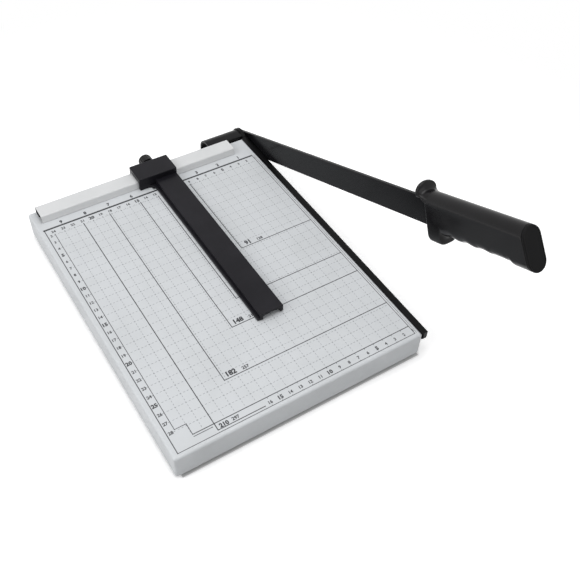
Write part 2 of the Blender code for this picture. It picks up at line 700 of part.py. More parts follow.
def build_pivot(root):
    """Bolt head and washer outside the arm; seat, spring, washer and nut inside the housing."""
    axis = (PIVOT_BACK, -PIVOT_DROP)
    hole = BOLT_RADIUS + GAP
    washer = ring_profile(hole, ARM_WASHER_RADIUS, WASHER_THICKNESS)
    turned("arm_washer", washer, "+X", (ARM_OUTER + GAP, *axis), root, ZINC)
    seat = HOUSING_RIGHT - HOUSING_SHEET - GAP
    washer = ring_profile(hole, WASHER_RADIUS, WASHER_THICKNESS)
    turned("spring_seat_washer", washer, "-X", (seat, *axis), root, ZINC)
    bolt_end = HOUSING_LEFT + BOLT_END_INSET
    nut_left = bolt_end + NUT_FROM_BOLT_END
    nut_right = nut_left + NUT_HEIGHT
    turned("nut_washer", washer, "+X", (nut_right + GAP, *axis), root, ZINC)

    shape = bmesh.new()
    turn = FACING["+X"].to_matrix().to_4x4()
    place = Matrix.Translation(((nut_left + nut_right) / 2, *axis)) @ turn
    bmesh.ops.create_cone(
        shape,
        cap_ends=True,
        segments=6,
        radius1=NUT_CORNER_RADIUS,
        radius2=NUT_CORNER_RADIUS,
        depth=NUT_HEIGHT,
        matrix=place,
    )
    nut = finish("pivot_nut", mesh_of(shape), root, ZINC)
    start = (nut_left - OVERRUN, *axis)
    drill(nut, [(start, "+X", hole, NUT_HEIGHT + 2 * OVERRUN)], "bore", SIDES)

    head = ARM_OUTER + WASHER_THICKNESS + 2 * GAP
    shank = [
        (0, BOLT_HEAD / 2),
        (BOLT_RADIUS, BOLT_HEAD / 2),
        (BOLT_RADIUS, bolt_end - head + BOLT_CHAMFER),
        (BOLT_RADIUS - BOLT_CHAMFER, bolt_end - head),
        (0, bolt_end - head),
    ]
    bolt = turned("pivot_bolt", shank, "+X", (head, *axis), root, ZINC)
    shape = bmesh.new()
    place = Matrix.Translation((head + BOLT_HEAD / 2, *axis)) @ turn
    bmesh.ops.create_cone(
        shape,
        cap_ends=True,
        segments=6,
        radius1=BOLT_HEAD_CORNER_RADIUS,
        radius2=BOLT_HEAD_CORNER_RADIUS,
        depth=BOLT_HEAD,
        matrix=place,
    )
    join(bolt, mesh_of(shape), "head")

    start = seat - WASHER_THICKNESS - GAP
    end = nut_right + GAP + WASHER_THICKNESS + GAP
    points = spring_points(start, start - end)
    print(f"pivot_spring: least gap to itself {least_gap(points) * 1000:.2f} mm")
    curve = bpy.data.curves.new("pivot_spring", "CURVE")
    curve.dimensions = "3D"
    curve.bevel_depth = SPRING_WIRE_RADIUS
    curve.bevel_resolution = 1
    curve.use_fill_caps = True
    spline = curve.splines.new("POLY")
    spline.points.add(len(points) - 1)
    for point, (x, y, z) in zip(spline.points, points):
        point.co = (x, y, z, 1)
    spring = bpy.data.objects.new("pivot_spring", curve)
    PARTS.objects.link(spring)
    spring.parent = root
    spring.location = (0, *axis)
    curve.materials.append(material("pivot_spring_steel", *SPRING_STEEL[1:]))


# Guide rail


def rail_path():
    """Section of the channel from its front foot over the top to the flange inside its back foot."""
    radius = RAIL_BEND_RADIUS
    corner = radius / 2
    front = (RAIL_FRONT + radius, RAIL_HEIGHT - radius)
    back = (RAIL_BACK - corner, RAIL_HEIGHT - corner)
    points = [(RAIL_FRONT, GAP)]
    points += arc(front, radius, 180, 90, FOLD_SEGMENTS)
    points += arc(back, corner, 90, 0, FOLD_SEGMENTS)
    points += [(RAIL_BACK, GAP), (RAIL_BACK - RAIL_FOOT_FLANGE, GAP)]
    return points


def build_rail(root):
    skin = ribbon_mesh(rail_path(), -RAIL_LEFT, -RAIL_RIGHT)
    rail = finish("guide_rail", skin, root, RAIL_PAINT, smooth=True)
    thicken(rail, RAIL_SHEET)
    y = rail_screw_y()
    flange = (GAP - OVERRUN, RAIL_SHEET + 2 * OVERRUN)
    holes = [((x, y, flange[0]), "+Z", RAIL_SCREW_RADIUS + GAP, flange[1]) for x in rail_screw_places()]
    drill(rail, holes)
    seat = -TRAY_SHEET - GAP
    nut_low = GAP + RAIL_SHEET + GAP
    length = nut_low + RAIL_NUT_HEIGHT + RAIL_SCREW_STUB - seat
    screw = screw_profile(RAIL_SCREW_RADIUS, length, RAIL_SCREW_HEAD_RADIUS, RAIL_SCREW_HEAD)
    for number, x in enumerate(rail_screw_places(), start=1):
        turned(f"rail_screw_{number}", screw, "-Z", (x, y, seat), root, ZINC, SCREW_SIDES)
        shape = bmesh.new()
        place = Matrix.Translation((x, y, nut_low + RAIL_NUT_HEIGHT / 2))
        bmesh.ops.create_cone(
            shape,
            cap_ends=True,
            segments=6,
            radius1=RAIL_NUT_CORNER_RADIUS,
            radius2=RAIL_NUT_CORNER_RADIUS,
            depth=RAIL_NUT_HEIGHT,
            matrix=place,
        )
        nut = finish(f"rail_nut_{number}", mesh_of(shape), root, ZINC)
        start = (x, y, nut_low - OVERRUN)
        drill(nut, [(start, "+Z", RAIL_SCREW_RADIUS + GAP, RAIL_NUT_HEIGHT + 2 * OVERRUN)], "bore")


# Blade arm and handle, in the arm's frame: along is -Y and across is Z


def lean(along, across):
    """A point of the arm's side view whose along is shifted by the handle's lean."""
    return (-(along - HANDLE_LEAN_SHARE * across), across)


def arm_outline():
    """Round about the pivot, straight to the hilt, then the narrower tang inside the grip."""
    half = ARM_WIDTH / 2
    tang = TANG_WIDTH / 2
    shoulder = HILT_ALONG - GAP
    tip = -(HILT_ALONG + TANG_LENGTH)
    points = arc((0, 0), half, -90, 90, 2 * ARC_STEPS)
    points += [lean(shoulder, half), lean(shoulder, tang)]
    points += [(tip, tang), (tip, -tang)]
    points += [lean(shoulder, -tang), lean(shoulder, -half)]
    return points


def handle_screw_places():
    return [HILT_ALONG + share * GRIP_LENGTH for share in HANDLE_SCREW_SHARES]


def build_arm(swing):
    skin = plate_mesh(arm_outline(), ARM_INNER, ARM_OUTER, ALONG_X)
    arm = finish("blade_arm", skin, swing, BLACK_PAINT)
    low = -ARM_WIDTH / 2
    run = ARM_THICKNESS - EDGE_LAND
    past = OVERRUN / run
    wedge = [
        (ARM_OUTER + past * run, low + EDGE_GRIND_HEIGHT * (1 + past)),
        (ARM_INNER + EDGE_LAND - past * run, low - EDGE_GRIND_HEIGHT * past),
        (ARM_OUTER + past * run, low - EDGE_GRIND_HEIGHT * past),
    ]
    cut(arm, plate_mesh(wedge, -HILT_ALONG - ARM_WIDTH, -EDGE_START, ALONG_Y), "grind")
    start = (ARM_INNER - OVERRUN, 0, 0)
    through = ARM_THICKNESS + 2 * OVERRUN
    drill(arm, [(start, "+X", BOLT_RADIUS + ARM_HOLE_CLEARANCE, through)], "pivot", SIDES)
    holes = []
    for along in handle_screw_places():
        start = (ARM_INNER - OVERRUN, -along, HANDLE_SCREW_RISE)
        holes.append((start, "+X", HANDLE_SCREW_RADIUS + GAP, through))
    drill(arm, holes)


def grip_bottom(along):
    """Depth of the grip's underside below the arm's middle line, grooves and pommel included."""
    first = HILT_ALONG + GROOVE_START
    last = first + GROOVE_COUNT * GROOVE_PERIOD
    share = min(max((along - HILT_FRONT) / (last - HILT_FRONT), 0), 1)
    depth = GRIP_BOTTOM_FRONT + share * (GRIP_BOTTOM_WAIST - GRIP_BOTTOM_FRONT)
    if first < along < last:
        depth -= GROOVE_DEPTH * math.sin(math.pi * (along - first) / GROOVE_PERIOD) ** 2
    pommel = GRIP_END - POMMEL_LENGTH
    rise = min(max((along - pommel) / POMMEL_STEP, 0), 1)
    return depth + (GRIP_POMMEL_BOTTOM - GRIP_BOTTOM_WAIST) * rise * rise * (3 - 2 * rise)


def grip_mesh():
    start = HILT_ALONG + HILT_THICKNESS / 2
    end = GRIP_END - CAP_THICKNESS - GAP
    first = HILT_ALONG + GROOVE_START
    last = first + GROOVE_COUNT * GROOVE_PERIOD
    pommel = GRIP_END - POMMEL_LENGTH
    stations = [start]
    stations += list(np.linspace(first, last, 6 * GROOVE_COUNT + 1))
    stations += list(np.linspace(pommel, pommel + POMMEL_STEP, ARC_STEPS // 2 + 1))
    stations += [end]
    rings = [stadium_ring(s, GRIP_TOP, grip_bottom(s), GRIP_HALF_WIDTH) for s in stations]
    return loft_mesh(rings)


def hilt_mesh():
    """The disc: a round slab made oval and sheared by the handle's lean, its rim rounded."""
    shape = bmesh.new()
    bmesh.ops.create_cone(shape, cap_ends=True, segments=FINE_SIDES, radius1=1, radius2=1, depth=1)
    for vert in shape.verts:
        x, y, z = vert.co
        across = HILT_RISE + HILT_HALF_HEIGHT * y
        along, _ = lean(HILT_ALONG + HILT_THICKNESS * (z + 0.5), across)
        vert.co = (ARM_MIDDLE + HILT_HALF_WIDTH * x, along, across)
    rim = [edge for edge in shape.edges if len(edge.link_faces) == 2 and edge.calc_face_angle() > 1]
    bmesh.ops.bevel(shape, geom=rim, offset=HILT_RIM_RADIUS, segments=2, profile=0.5, affect="EDGES")
    return mesh_of(shape)


def lobe_mesh():
    """The lower guard: a rounded toe below the disc, its front filleted up into the grip."""
    rear = HILT_ALONG
    front = rear + LOBE_LENGTH
    toe = 2 * LOBE_EDGE_RADIUS
    low = -LOBE_BOTTOM
    points = [lean(rear, 0), lean(rear, low + toe / 2)]
    points += [lean(rear + toe / 2, low), lean(front - toe, low), lean(front, low + toe / 2)]
    fillet_top = low + toe / 2 + LOBE_FILLET
    for share in LOBE_FILLET_SHARES:
        angle = share * math.pi / 2
        along = front + LOBE_FILLET * (1 - math.cos(angle))
        points.append(lean(along, fillet_top - LOBE_FILLET * (1 - math.sin(angle))))
    points.append(lean(front + LOBE_FILLET, 0))
    low_x, high_x = ARM_MIDDLE - LOBE_HALF_WIDTH, ARM_MIDDLE + LOBE_HALF_WIDTH
    skin = plate_mesh(points, low_x, high_x, ALONG_X)
    shape = bmesh.new()
    shape.from_mesh(skin)
    bmesh.ops.recalc_face_normals(shape, faces=shape.faces)
    sides = [edge for edge in shape.edges if len(edge.link_faces) == 2 and edge.calc_face_angle() > 1.4]
    bmesh.ops.bevel(shape, geom=sides, offset=LOBE_EDGE_RADIUS, segments=3, profile=0.5, affect="EDGES")
    return mesh_of(shape)


def build_handle(swing):
    grip = finish("handle_grip", grip_mesh(), swing, BLACK_PLASTIC, smooth=True)
    join(grip, hilt_mesh(), "hilt")
    join(grip, lobe_mesh(), "lobe")
    slot = TANG_WIDTH / 2 + GAP
    end = HILT_ALONG + TANG_LENGTH + GAP
    low = (ARM_INNER - GAP, -end, -slot)
    high = (ARM_OUTER + GAP, -HILT_ALONG + ARM_WIDTH, slot)
    cut(grip, box_mesh(low, high), "tang_slot")

    cap_front = GRIP_END - CAP_THICKNESS
    deep = cap_front - CAP_SPIGOT_LENGTH
    bottom = GRIP_POMMEL_BOTTOM
    pocket = [
        stadium_ring(deep - GAP, GRIP_TOP, bottom, GRIP_HALF_WIDTH, CAP_SPIGOT_INSET - GAP),
        stadium_ring(cap_front + OVERRUN, GRIP_TOP, bottom, GRIP_HALF_WIDTH, CAP_SPIGOT_INSET - GAP),
    ]
    cut(grip, loft_mesh(pocket), "cap_pocket")
    steps = [
        (deep, CAP_SPIGOT_INSET),
        (cap_front, CAP_SPIGOT_INSET),
        (cap_front, 0),
        (GRIP_END - CAP_RIM, 0),
        (GRIP_END, CAP_RIM),
        (GRIP_END, 2 * CAP_RIM),
        (GRIP_END - CAP_DISH, 2 * CAP_RIM + CAP_DISH),
    ]
    rings = [stadium_ring(s, GRIP_TOP, bottom, GRIP_HALF_WIDTH, inset) for s, inset in steps]
    finish("handle_end_cap", loft_mesh(rings), swing, BLACK_PLASTIC, smooth=True)

    side = ARM_MIDDLE + GRIP_HALF_WIDTH
    seat = side - HANDLE_SCREW_SUNK - HANDLE_SCREW_HEAD
    far = ARM_MIDDLE - GRIP_HALF_WIDTH + HANDLE_SCREW_FAR_SKIN
    counterbores = []
    shanks = []
    for along in handle_screw_places():
        counterbore = (side + OVERRUN, -along, HANDLE_SCREW_RISE)
        depth = side + OVERRUN - seat + GAP
        counterbores.append((counterbore, "-X", HANDLE_SCREW_HEAD_RADIUS + GAP, depth))
        shanks.append((counterbore, "-X", HANDLE_SCREW_RADIUS + GAP, side + OVERRUN - far + GAP))
    drill(grip, counterbores, "counterbores", SIDES)
    drill(grip, shanks, "shanks")
    screw = screw_profile(HANDLE_SCREW_RADIUS, seat - far, HANDLE_SCREW_HEAD_RADIUS, HANDLE_SCREW_HEAD)
    for number, along in enumerate(handle_screw_places(), start=1):
        place = (seat, -along, HANDLE_SCREW_RISE)
        turned(f"handle_screw_{number}", screw, "+X", place, swing, ZINC)


# Paper gauge and its clamp


def gauge_foot_outline():
    """Plan of the foot strip: beside the arm, flaring out by a quarter arc that ends in the head."""
    wall = GAUGE_HEAD_RIGHT - GAUGE_ARM_WIDTH
    left = wall - GAUGE_LEDGE_REACH
    head = -GAUGE_HEAD_FRONT
    flare = arc((left - GAUGE_FLARE, head - GAUGE_FLARE + GAP), GAUGE_FLARE, 0, 90)
    inner = wall + GAUGE_ARM_WALL / 2
    return [(inner, -GAUGE_ARM_REACH), (inner, head + OVERRUN), *reversed(flare), (left, -GAUGE_ARM_REACH)]


def gauge_hollow_outline():
    """Front view of the space under the arm, its roof an arch."""
    left = GAUGE_HEAD_RIGHT - GAUGE_ARM_WIDTH + GAUGE_ARM_WALL
    right = GAUGE_HEAD_RIGHT - GAUGE_ARM_WALL
    middle, half = (left + right) / 2, (right - left) / 2
    rise = GAUGE_ARM_ROOF_CROWN - GAUGE_ARM_ROOF_EDGE
    points = [(left, -OVERRUN), (right, -OVERRUN)]
    for turn in np.linspace(1, -1, ARC_STEPS + 1):
        points.append((middle + half * turn, GAUGE_ARM_ROOF_EDGE + rise * (1 - turn * turn)))
    return points


def build_gauge(slide):
    head_left = -GAUGE_HEAD_LEFT
    arm_left = GAUGE_HEAD_RIGHT - GAUGE_ARM_WIDTH
    front = -GAUGE_HEAD_FRONT
    low = (head_left, front, GAP)
    high = (GAUGE_HEAD_RIGHT, GAUGE_BACK, GAUGE_HEAD_TOP)
    body = finish("gauge_body", box_mesh(low, high), slide, GAUGE_PLASTIC)
    ease(body, GAUGE_HEAD_EDGE, 2)
    arm_low = (arm_left, -GAUGE_ARM_REACH, GAP)
    arm_high = (GAUGE_HEAD_RIGHT - GAUGE_ARM_EDGE, front + OVERRUN, GAUGE_ARM_TOP)
    arm = join(body, box_mesh(arm_low, arm_high), "arm")
    ease(arm, GAUGE_ARM_EDGE, 2)
    foot = plate_mesh(gauge_foot_outline(), GAP, GAUGE_LEDGE_HEIGHT, ALONG_Z)
    join(body, foot, "foot")
    shape = bmesh.new()
    middle = GAUGE_BACK + CLAMP_BOSS_LENGTH / 2
    turn = FACING["+Y"].to_matrix().to_4x4()
    bmesh.ops.create_cone(
        shape,
        cap_ends=True,
        segments=SIDES,
        radius1=CLAMP_BOSS_RADIUS,
        radius2=CLAMP_BOSS_RADIUS,
        depth=CLAMP_BOSS_LENGTH + 2 * OVERRUN,
        matrix=Matrix.Translation((CLAMP_X, middle - OVERRUN, CLAMP_HEIGHT)) @ turn,
    )
    join(body, mesh_of(shape), "boss")
    channel_low = (head_left - OVERRUN, CHANNEL_FRONT, GAP - OVERRUN)
    channel_high = (GAUGE_HEAD_RIGHT + OVERRUN, CHANNEL_BACK, CHANNEL_TOP)
    cut(body, box_mesh(channel_low, channel_high), "channel")
    hollow = plate_mesh(gauge_hollow_outline(), -GAUGE_ARM_REACH - OVERRUN, front - OVERRUN, ALONG_Y)
    cut(body, hollow, "hollow")
    pocket = (CLAMP_X, CHANNEL_BACK - OVERRUN, CLAMP_HEIGHT)
    shoulder = CHANNEL_BACK + CLAMP_POCKET_DEPTH
    bores = [(pocket, "+Y", CLAMP_PAD_RADIUS + GAP, CLAMP_POCKET_DEPTH + 2 * OVERRUN)]
    drill(body, bores, "pad_pocket", SIDES)
    bore = (CLAMP_X, shoulder, CLAMP_HEIGHT)
    depth = BOSS_END - shoulder + OVERRUN
    drill(body, [(bore, "+Y", INSERT_RADIUS + GAP, depth)], "insert_bore", SIDES)
    insert = ring_profile(LOCK_SCREW_RADIUS + GAP, INSERT_RADIUS, INSERT_LENGTH)
    seat = (CLAMP_X, shoulder + GAP, CLAMP_HEIGHT)
    turned("threaded_insert", insert, "+Y", seat, slide, BRASS)


def build_clamp(knob):
    """The pad, screw and knob turn together; their frame sits at the pad's face on the screw's axis."""
    pad = [(0, CLAMP_PAD_THICKNESS), (CLAMP_PAD_RADIUS, CLAMP_PAD_THICKNESS), (CLAMP_PAD_RADIUS, 0), (0, 0)]
    turned("clamp_pad", pad, "+Y", (0, 0, 0), knob, GAUGE_PLASTIC)
    tip = CLAMP_PAD_THICKNESS + GAP
    knob_front = BOSS_END + GAP - CHANNEL_BACK
    screw_end = knob_front + KNOB_BORE_DEPTH - GAP
    chamfer = LOCK_SCREW_RADIUS / 4
    stud = [
        (0, screw_end),
        (LOCK_SCREW_RADIUS, screw_end),
        (LOCK_SCREW_RADIUS, tip + chamfer),
        (LOCK_SCREW_RADIUS - chamfer, tip),
        (0, tip),
    ]
    turned("lock_screw", stud, "+Y", (0, 0, 0), knob, ZINC)
    back = knob_front + KNOB_LENGTH
    bore = LOCK_SCREW_RADIUS + GAP
    section = [
        (0, back - KNOB_DISH_DEPTH),
        (KNOB_DISH_RADIUS - KNOB_DISH_DEPTH, back - KNOB_DISH_DEPTH),
        (KNOB_DISH_RADIUS, back),
        (KNOB_RADIUS - KNOB_EDGE, back),
        (KNOB_RADIUS, back - KNOB_EDGE),
        (KNOB_RADIUS, knob_front + KNOB_EDGE / 2),
        (KNOB_RADIUS - KNOB_EDGE / 2, knob_front),
        (bore, knob_front),
        (bore, knob_front + KNOB_BORE_DEPTH),
        (0, knob_front + KNOB_BORE_DEPTH),
    ]
    turned("lock_knob", section, "+Y", (0, 0, 0), knob, BLACK_PLASTIC, FINE_SIDES)


# The whole cutter


def bounds():
    """Lowest and highest corners of all pieces in the world."""
    bpy.context.view_layer.update()
    graph = bpy.context.evaluated_depsgraph_get()
    corners = []
    for piece in PARTS.objects:
        if piece.type in ("MESH", "CURVE"):
            evaluated = piece.evaluated_get(graph)
            mesh = evaluated.to_mesh()
            points = np.empty(len(mesh.vertices) * 3, np.float32)
            mesh.vertices.foreach_get("co", points)
            world = np.array(evaluated.matrix_world)
            corners.append(points.reshape(-1, 3) @ world[:3, :3].T + world[:3, 3])
            evaluated.to_mesh_clear()
    corners = np.concatenate(corners)
    return corners.min(axis=0), corners.max(axis=0)


def main():
    root = empty("paper_cutter")
    rest = math.radians(ARM_REST_DEGREES)
    swing = empty("arm_hinge", root, (0, PIVOT_BACK, -PIVOT_DROP), (-rest, 0, 0))
    slide = empty("gauge_slide", root)
    knob = empty("knob_turn", slide, (CLAMP_X, CHANNEL_BACK, CLAMP_HEIGHT))
    build_tray(root)
    build_feet(root)
    build_ledger(root)
    build_rail(root)
    build_housing(root)
    build_pivot(root)
    build_arm(swing)
    build_handle(swing)
    build_gauge(slide)
    build_clamp(knob)

    low, high = bounds()
    root.location = (-(low[0] + high[0]) / 2, -(low[1] + high[1]) / 2, -low[2])
    bpy.context.view_layer.update()
    for joint in (swing, slide, knob):
        place = ", ".join(f"{value:.5f}" for value in joint.matrix_world.translation)
        print(f"{joint.name}: {place}")
    print(f"size: {', '.join(f'{value:.4f}' for value in high - low)}")


clear_scene()
PARTS = new_collection("guillotine_paper_cutter")
CUTTERS = new_collection("cutters")
main()
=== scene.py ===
"""Looks of a guillotine paper cutter: every piece of its frame, dressed with modelled surfaces.

Places are worked out in the cutter's own frame, in metres: X from the cut line to the right, Y from the
foot of the guide rail to the back, Z up from the top of the board. Board.place takes them to the frame.
The arm and its handle are worked out level: "along" runs from the pivot to the handle, "across" runs up.
"""

import logging
import math
from dataclasses import dataclass, field
from enum import Enum
from functools import cache

import bmesh
import bpy
import numpy as np
from mathutils import Matrix, Vector

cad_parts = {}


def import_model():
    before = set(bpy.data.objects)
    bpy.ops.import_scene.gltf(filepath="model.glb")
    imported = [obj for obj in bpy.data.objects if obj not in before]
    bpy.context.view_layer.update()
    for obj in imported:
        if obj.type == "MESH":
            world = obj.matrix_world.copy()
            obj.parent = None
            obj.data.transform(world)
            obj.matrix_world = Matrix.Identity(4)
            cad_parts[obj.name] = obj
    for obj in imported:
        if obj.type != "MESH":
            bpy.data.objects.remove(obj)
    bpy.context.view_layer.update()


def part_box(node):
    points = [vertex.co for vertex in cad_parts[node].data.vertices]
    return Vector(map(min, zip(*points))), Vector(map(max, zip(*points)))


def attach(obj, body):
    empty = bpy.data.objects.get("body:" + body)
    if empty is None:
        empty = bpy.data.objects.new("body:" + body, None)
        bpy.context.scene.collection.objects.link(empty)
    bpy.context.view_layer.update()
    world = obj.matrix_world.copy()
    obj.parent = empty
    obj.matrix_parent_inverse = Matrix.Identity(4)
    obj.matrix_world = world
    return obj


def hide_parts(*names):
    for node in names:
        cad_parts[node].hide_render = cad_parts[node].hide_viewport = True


log = logging.getLogger("paper_cutter")

WELD = 1e-7  # points closer than this are one point
INK_RISE = 0.00002  # underside of the ink above the paint
INK_TOP = 0.00006  # face of the ink above the paint
GAP = 0.0003  # between pieces that seat on each other or pass through each other
PIVOT = (0.0310, -0.0115)  # Y and Z of the bolt that the arm turns on
MARK_BAND = (0.42, 0.68)  # values of the slow noise over which handling marks come in
GLOSS_BAND = (0.3, 0.7)  # and over which the roughness changes
SCUFFS = 900.0  # scratches in a metre
SCUFF_BAND = (0.70, 0.78)  # values of their noise over which they come in
SCUFF_TURN = (0.3, 0.5, 0.7)  # in radians
SCUFF_STRETCH = (1.0, 0.03, 1.0)  # scale of their noise, drawn out along Y
WHITE = (1, 1, 1, 1)  # red, green, blue and alpha


# Shapes


@dataclass
class Shape:
    """Points in metres, the faces between them, and the finish that each face takes."""

    points: np.ndarray
    faces: list
    finishes: list = field(default_factory=list)

    def __post_init__(self) -> None:
        """Gives every face the first finish where none is named."""
        if not self.finishes:
            self.finishes = [0] * len(self.faces)

    def turned_by(self, matrix: Matrix) -> "Shape":
        """The same shape with every point carried by a matrix."""
        turn = np.array(matrix)
        return Shape(self.points @ turn[:3, :3].T + turn[:3, 3], self.faces, self.finishes)


def united(shapes: list) -> Shape:
    """Several shapes as one.

    Args:
        shapes: the shapes, in order.

    Returns:
        One shape that holds them all.
    """
    shifts = np.cumsum([0] + [len(shape.points) for shape in shapes])
    faces = [[i + int(shift) for i in face] for shape, shift in zip(shapes, shifts) for face in shape.faces]
    finishes = [finish for shape in shapes for finish in shape.finishes]
    return Shape(np.concatenate([shape.points for shape in shapes]), faces, finishes)


def around(sides: int) -> np.ndarray:
    """The angles of points spaced evenly round a circle."""
    return np.linspace(0, 2 * math.pi, sides, endpoint=False)


def quarter(count: int) -> np.ndarray:
    """Angles from zero to a right angle."""
    return np.linspace(0, math.pi / 2, count)


def loft(rings: np.ndarray, capped: bool = True, closed: bool = False) -> Shape:
    """A skin over a grid of points: row i is one ring, and each row joins the next by four-sided faces.

    Args:
        rings: (rows, points, 3), every ring with as many points.
        capped: closes the first and last ring with a face.
        closed: joins the last ring to the first instead.

    Returns:
        The skin.
    """
    rows, columns = rings.shape[:2]
    row = np.arange(rows if closed else rows - 1)[:, None]
    column = np.arange(columns)[None]
    after, below = (column + 1) % columns, (row + 1) % rows
    corners = (row * columns + column, row * columns + after,
               below * columns + after, below * columns + column)
    faces = np.stack(np.broadcast_arrays(*corners), axis=-1).reshape(-1, 4).tolist()
    if capped and not closed:
        last = (rows - 1) * columns
        faces += [list(range(columns))[::-1], list(range(last, last + columns))]
    return Shape(rings.reshape(-1, 3), faces)


def arc(centre: tuple, radius: float, start: float, end: float, steps: int) -> np.ndarray:
    """Points at centre + radius * (cos a, sin a), with a from start to end in degrees."""
    angle = np.radians(np.linspace(start, end, steps + 1))
    return np.stack([centre[0] + radius * np.cos(angle), centre[1] + radius * np.sin(angle)], axis=1)


def box_loop(low: tuple, high: tuple, radius: float = 0.0, steps: int = 5) -> np.ndarray:
    """A rectangle run anticlockwise, its corners quarter circles.

    Args:
        low: its lowest corner.
        high: its highest corner.
        radius: of the corners.
        steps: sides in each of them.

    Returns:
        (points, 2).
    """
    if radius <= 0:
        return np.array([low, (high[0], low[1]), high, (low[0], high[1])], float)
    corners = ((low[0], low[1], 180, 1, 1), (high[0], low[1], 270, -1, 1), (high[0], high[1], 0, -1, -1),
               (low[0], high[1], 90, 1, -1))
    parts = [arc((x + sx * radius, y + sy * radius), radius, start, start + 90, steps)
             for x, y, start, sx, sy in corners]
    return np.concatenate(parts)


def inset_loop(loop: np.ndarray, distance: float) -> np.ndarray:
    """Moves the sides of an anticlockwise loop inwards.

    Each corner goes to where its two moved sides meet: along n1 + n2, the sides' inward normals, by
    2 * distance / |n1 + n2|^2.

    Args:
        loop: (points, 2).
        distance: how far its sides move.

    Returns:
        The moved loop.
    """
    side = np.roll(loop, -1, axis=0) - loop
    normal = np.stack([-side[:, 1], side[:, 0]], axis=1)
    normal /= np.linalg.norm(normal, axis=1, keepdims=True)
    both = normal + np.roll(normal, 1, axis=0)
    return loop + both * (2 * distance / np.maximum((both ** 2).sum(axis=1), 0.5))[:, None]


def anticlockwise(loop: np.ndarray) -> np.ndarray:
    """Turns a loop round if its signed area is negative.

    Args:
        loop: (points, 2).

    Returns:
        The loop.
    """
    after = np.roll(loop, -1, axis=0)
    area = (loop[:, 0] * after[:, 1] - loop[:, 1] * after[:, 0]).sum()
    return loop if area > 0 else loop[::-1]


class Axis(Enum):
    """The direction in which a flat outline is carried, and the order its parts (depth, u, v) then take."""

    X = (0, 1, 2)
    Y = (1, 0, 2)
    Z = (1, 2, 0)


def plate(loop: np.ndarray, low: float, high: float, axis: Axis, radius: float, steps: int = 3) -> Shape:
    """An outline carried between two planes, its rims rounded.

    Near each plane the outline is inset by radius * (1 - sin t) at the depth radius * (1 - cos t), with t
    from 0 to a right angle, so the rim is a quarter circle.

    Args:
        loop: (points, 2), the outline.
        low: the first plane.
        high: the second plane.
        axis: the direction between the planes.
        radius: of the rims.
        steps: faces across a rim.

    Returns:
        The closed plate.
    """
    loop = anticlockwise(np.asarray(loop, float))
    turn = quarter(steps + 1)
    depth = radius * (1 - np.cos(turn))
    inset = radius * (1 - np.sin(turn))
    depths = np.concatenate([low + depth, (high - depth)[::-1]])
    insets = np.concatenate([inset, inset[::-1]])
    rings = np.empty((len(depths), len(loop), 3))
    for row, (at, by) in enumerate(zip(depths, insets)):
        flat = inset_loop(loop, by)
        parts = np.stack([np.full(len(loop), at), flat[:, 0], flat[:, 1]], axis=1)
        rings[row] = parts[:, axis.value]
    return loft(rings)


def folded_sheet(path: np.ndarray, thickness: float) -> np.ndarray:
    """The section of a folded sheet: a path, and back along the path moved to its right.

    Args:
        path: (points, 2), one face of the sheet.
        thickness: negative to move it to the left.

    Returns:
        (2 * points, 2).
    """
    side = np.diff(path, axis=0)
    normal = np.stack([side[:, 1], -side[:, 0]], axis=1)
    normal /= np.linalg.norm(normal, axis=1, keepdims=True)
    both = np.concatenate([normal[:1] * 2, normal[1:] + normal[:-1], normal[-1:] * 2])
    moved = path + both * (2 * thickness / (both ** 2).sum(axis=1))[:, None]
    return np.concatenate([path, moved[::-1]])


def spun(profile: list, centre: Vector, facing: str, sides: int) -> Shape:
    """A turned piece: point (r, h) of its profile goes to centre + h * axis + r * (cos a * u + sin a * v).

    Args:
        profile: (radius, height) pairs; either may be an array with one value for each of the sides.
        centre: where height is zero on the axis.
        facing: the axis, such as "+X".
        sides: points round the axis.

    Returns:
        The closed piece. A radius of zero is a pole.
    """
    angle = around(sides)
    radius = np.stack([np.broadcast_to(np.asarray(r, float), sides) for r, _ in profile])
    height = np.stack([np.broadcast_to(np.asarray(h, float), sides) for _, h in profile])
    axis = np.zeros(3)
    axis["XYZ".index(facing[1])] = 1 if facing[0] == "+" else -1
    first = np.roll(np.abs(axis), 1)
    second = np.cross(axis, first)
    rings = (np.array(centre) + height[..., None] * axis
             + (radius * np.cos(angle))[..., None] * first + (radius * np.sin(angle))[..., None] * second)
    closed = bool(np.any(radius[0] > 0))
    return loft(rings, capped=False, closed=closed)


def slabs(low: np.ndarray, high: np.ndarray) -> Shape:
    """Upright boxes between pairs of corners, all worked out at once.

    Args:
        low: (boxes, 3), the lowest corners.
        high: (boxes, 3), the highest corners.

    Returns:
        The boxes as one shape.
    """
    pick = np.array([[0, 0, 0], [1, 0, 0], [1, 1, 0], [0, 1, 0], [0, 0, 1], [1, 0, 1], [1, 1, 1], [0, 1, 1]])
    points = np.where(pick[None] == 1, high[:, None], low[:, None]).reshape(-1, 3)
    sides = np.array([[3, 2, 1, 0], [4, 5, 6, 7], [0, 1, 5, 4], [1, 2, 6, 5], [2, 3, 7, 6], [3, 0, 4, 7]])
    faces = (sides[None] + 8 * np.arange(len(low))[:, None, None]).reshape(-1, 4)
    return Shape(points, faces.tolist())


